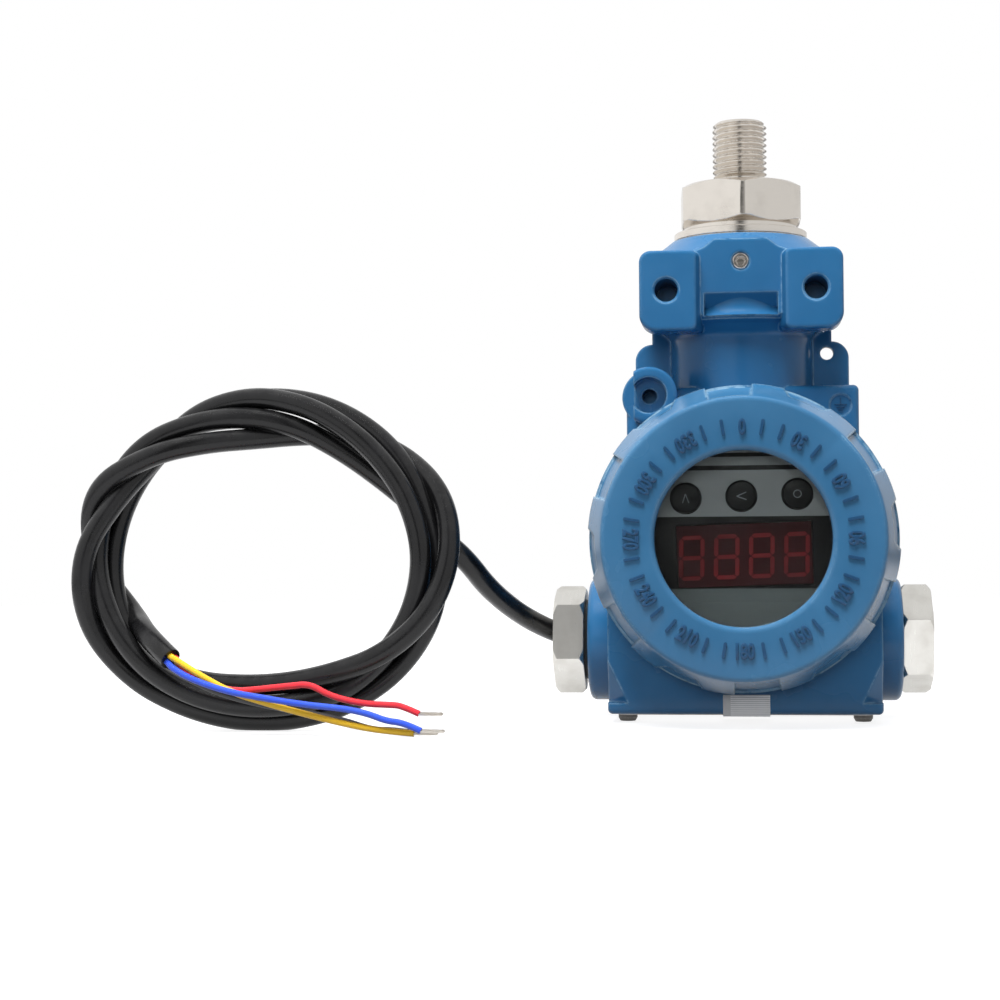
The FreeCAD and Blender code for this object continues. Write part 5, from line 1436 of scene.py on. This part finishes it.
@dataclass
class ProcessConnection:
    """The hexagon and the threaded process stub, in one turned piece."""

    finishes: Finishes
    across: float = 29.6
    corner: float = 16.5
    hexagon: tuple[float, float] = (124.0, 134.8)
    hex_turn: float = 3.5
    chamfer: float = 0.577
    face_radius: float = 14.3
    stub_top: float = 151.2
    stub_radius: float = 6.9
    pitch: float = 1.5
    thread_depth: float = 0.86
    root_share: float = 0.12
    flank_share: float = 0.76
    relief_slope: float = 1.4
    top_slope: float = 1.1
    relief: tuple[float, float] = (5.9, 1.9)
    top_chamfer: float = 1.0
    port: tuple[float, float] = (1.75, 12.0)
    disc: tuple[tuple[float, float], ...] = (
        (0.02, 120.72), (16.6, 120.72), (16.85, 120.95), (16.85, 122.45), (16.6, 122.7), (14.35, 122.75),
        (14.3, 123.9),
    )
    sides: int = 180
    end_span: float = 1.5
    end_steps: int = 12
    turn_steps: int = 14
    port_chamfer: float = 0.3
    port_cone: tuple[float, float] = (0.02, 1.0)

    def hex_radius(self, angle: float, height: float) -> float:
        """Find the hexagon's radius, its corners turned off and its ends chamfered.

        Args:
            angle: Radians about the axis.
            height: Millimetres up.

        Returns:
            The radius in millimetres.
        """
        local = (math.degrees(angle) - self.hex_turn + 90) % 60 - 30
        flat = self.across / 2 / math.cos(math.radians(local))
        low, high = self.hexagon
        ends = self.face_radius + min(height - low, high - height) / self.chamfer
        return min(flat, self.corner, ends)

    def thread_radius(self, angle: float, height: float) -> float:
        """Find the stub's radius: a helical thread between its relief groove and its top chamfer.

        Args:
            angle: Radians about the axis.
            height: Millimetres up.

        Returns:
            The radius in millimetres.
        """
        phase = ((height - self.hexagon[1]) / self.pitch - angle / math.tau) % 1.0
        valley = abs(phase - 0.5) * 2
        wave = min(1.0, max(0.0, (valley - self.root_share) / self.flank_share))
        radius = self.stub_radius - self.thread_depth * (1 - wave)
        groove, length = self.relief
        rise = height - self.hexagon[1] - length
        radius = min(radius, groove + max(0.0, rise) * self.relief_slope)
        chamfered = self.stub_radius - self.top_chamfer + (self.stub_top - height) * self.top_slope
        return min(radius, chamfered)

    def ring(self, height: float, shape: Callable[[float, float], float] | float) -> list[Point]:
        """Make one ring of points.

        Args:
            height: Millimetres up.
            shape: Its radius in millimetres, or what gives the radius at an angle and height.

        Returns:
            The points in metres.
        """
        points: list[Point] = []
        for step in range(self.sides):
            angle = math.tau * step / self.sides
            radius = shape(angle, height) if callable(shape) else shape
            points.append((radius * math.cos(angle) * MM, radius * math.sin(angle) * MM, height * MM))
        return points

    def make(self) -> None:
        """Build the piece and put it in its frame node's place."""
        low, high = self.hexagon
        span, steps, top = self.end_span, self.end_steps, self.stub_top
        levels: list[tuple[float, object]] = [(height, radius) for radius, height in self.disc]
        levels += [(low + span * step / steps, self.hex_radius) for step in range(steps + 1)]
        levels += [(high - span + span * step / steps, self.hex_radius) for step in range(1, steps + 1)]
        count = round((top - high) / self.pitch * self.turn_steps)
        levels += [(high + (top - high) * step / count, self.thread_radius) for step in range(count + 1)]
        bore, deep = self.port
        tip_radius, tip_drop = self.port_cone
        levels += [(top, bore + self.port_chamfer), (top - self.port_chamfer, bore), (top - deep, bore),
                   (top - deep - tip_drop, tip_radius)]
        points = [point for height, shape in levels for point in self.ring(height, shape)]
        faces = tube_faces(len(levels), self.sides)
        piece = mesh_object("process_stub", points, faces, self.finishes.hexagon, smooth=24.0)
        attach(piece, "sensor_module")
        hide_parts("process_fitting")
        LOG.info("process_stub %d faces", len(faces))


@dataclass
class Apron:
    """The cast fillet between the lugs, from the head's flat front down over the flare."""

    finishes: Finishes
    profile: tuple[tuple[float, float], ...] = (
        (15.0, 107.4), (20.9, 106.8), (20.55, 105.6), (20.2, 104.4), (19.95, 103.2), (19.95, 102.2),
        (20.2, 101.2), (20.75, 100.3), (21.5, 99.6), (22.15, 99.1), (22.2, 98.7), (21.2, 98.1),
        (19.9, 97.3), (15.0, 96.5),
    )
    spread: float = 34.0
    steps: int = 28

    def make(self) -> None:
        """Sweep the profile about the upright axis, between the lugs."""
        points: list[Point] = []
        count = len(self.profile)
        for step in range(self.steps + 1):
            angle = math.radians(-90 - self.spread + 2 * self.spread * step / self.steps)
            points += [(r * math.cos(angle) * MM, r * math.sin(angle) * MM, z * MM) for r, z in self.profile]
        faces: list[list[int]] = []
        for step in range(self.steps):
            first, second = step * count, (step + 1) * count
            for row in range(count):
                nxt = (row + 1) % count
                faces.append([first + row, first + nxt, second + nxt, second + row])
        faces.append(list(range(count)))
        faces.append(list(range(self.steps * count, (self.steps + 1) * count))[::-1])
        piece = mesh_object("head_fillet", points, faces, self.finishes.blue, smooth=60.0)
        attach(piece, "housing")
        LOG.info("head_fillet %d faces", len(faces))


@dataclass
class EarthMark:
    """The small raised earth symbol in its round recess on the shoulder."""

    finishes: Finishes
    place: tuple[float, float, float] = (24.2, -14.5, 77.5)
    bars: tuple[tuple[float, float], ...] = ((0.1, 3.0), (-0.6, 2.0), (-1.3, 1.0))
    stem: tuple[float, float] = (0.1, 1.8)
    width: float = 0.34
    rise: float = 0.35

    def make(self) -> None:
        """Build the symbol from three bars and a stem."""
        strokes = [(-length / 2, up, length / 2, up) for up, length in self.bars]
        strokes.append((0.0, self.stem[0], 0.0, self.stem[1]))
        place = Matrix.Translation(Vector(self.place) * MM) @ FACING_FRONT
        # The symbol takes the darker dial blue, which paints its shade.
        mark = stroke_mesh("earth_mark", strokes, self.width, self.rise, self.finishes.dial_blue, place)
        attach(mark, "housing")
        LOG.info("earth_mark %d strokes", len(strokes))


def main() -> None:
    """Build everything in order: the camera and the cords first."""
    logging.basicConfig(level=logging.INFO, format="%(name)s: %(message)s")
    Studio().make()
    finishes = Finishes()
    SignalCable(finishes).make()
    FrameDress(finishes).make()
    WindowCover(finishes).make()
    Display(finishes).make()
    ProcessConnection(finishes).make()
    EarthMark(finishes).make()
    Apron(finishes).make()


if __name__ == "__main__":
    main()
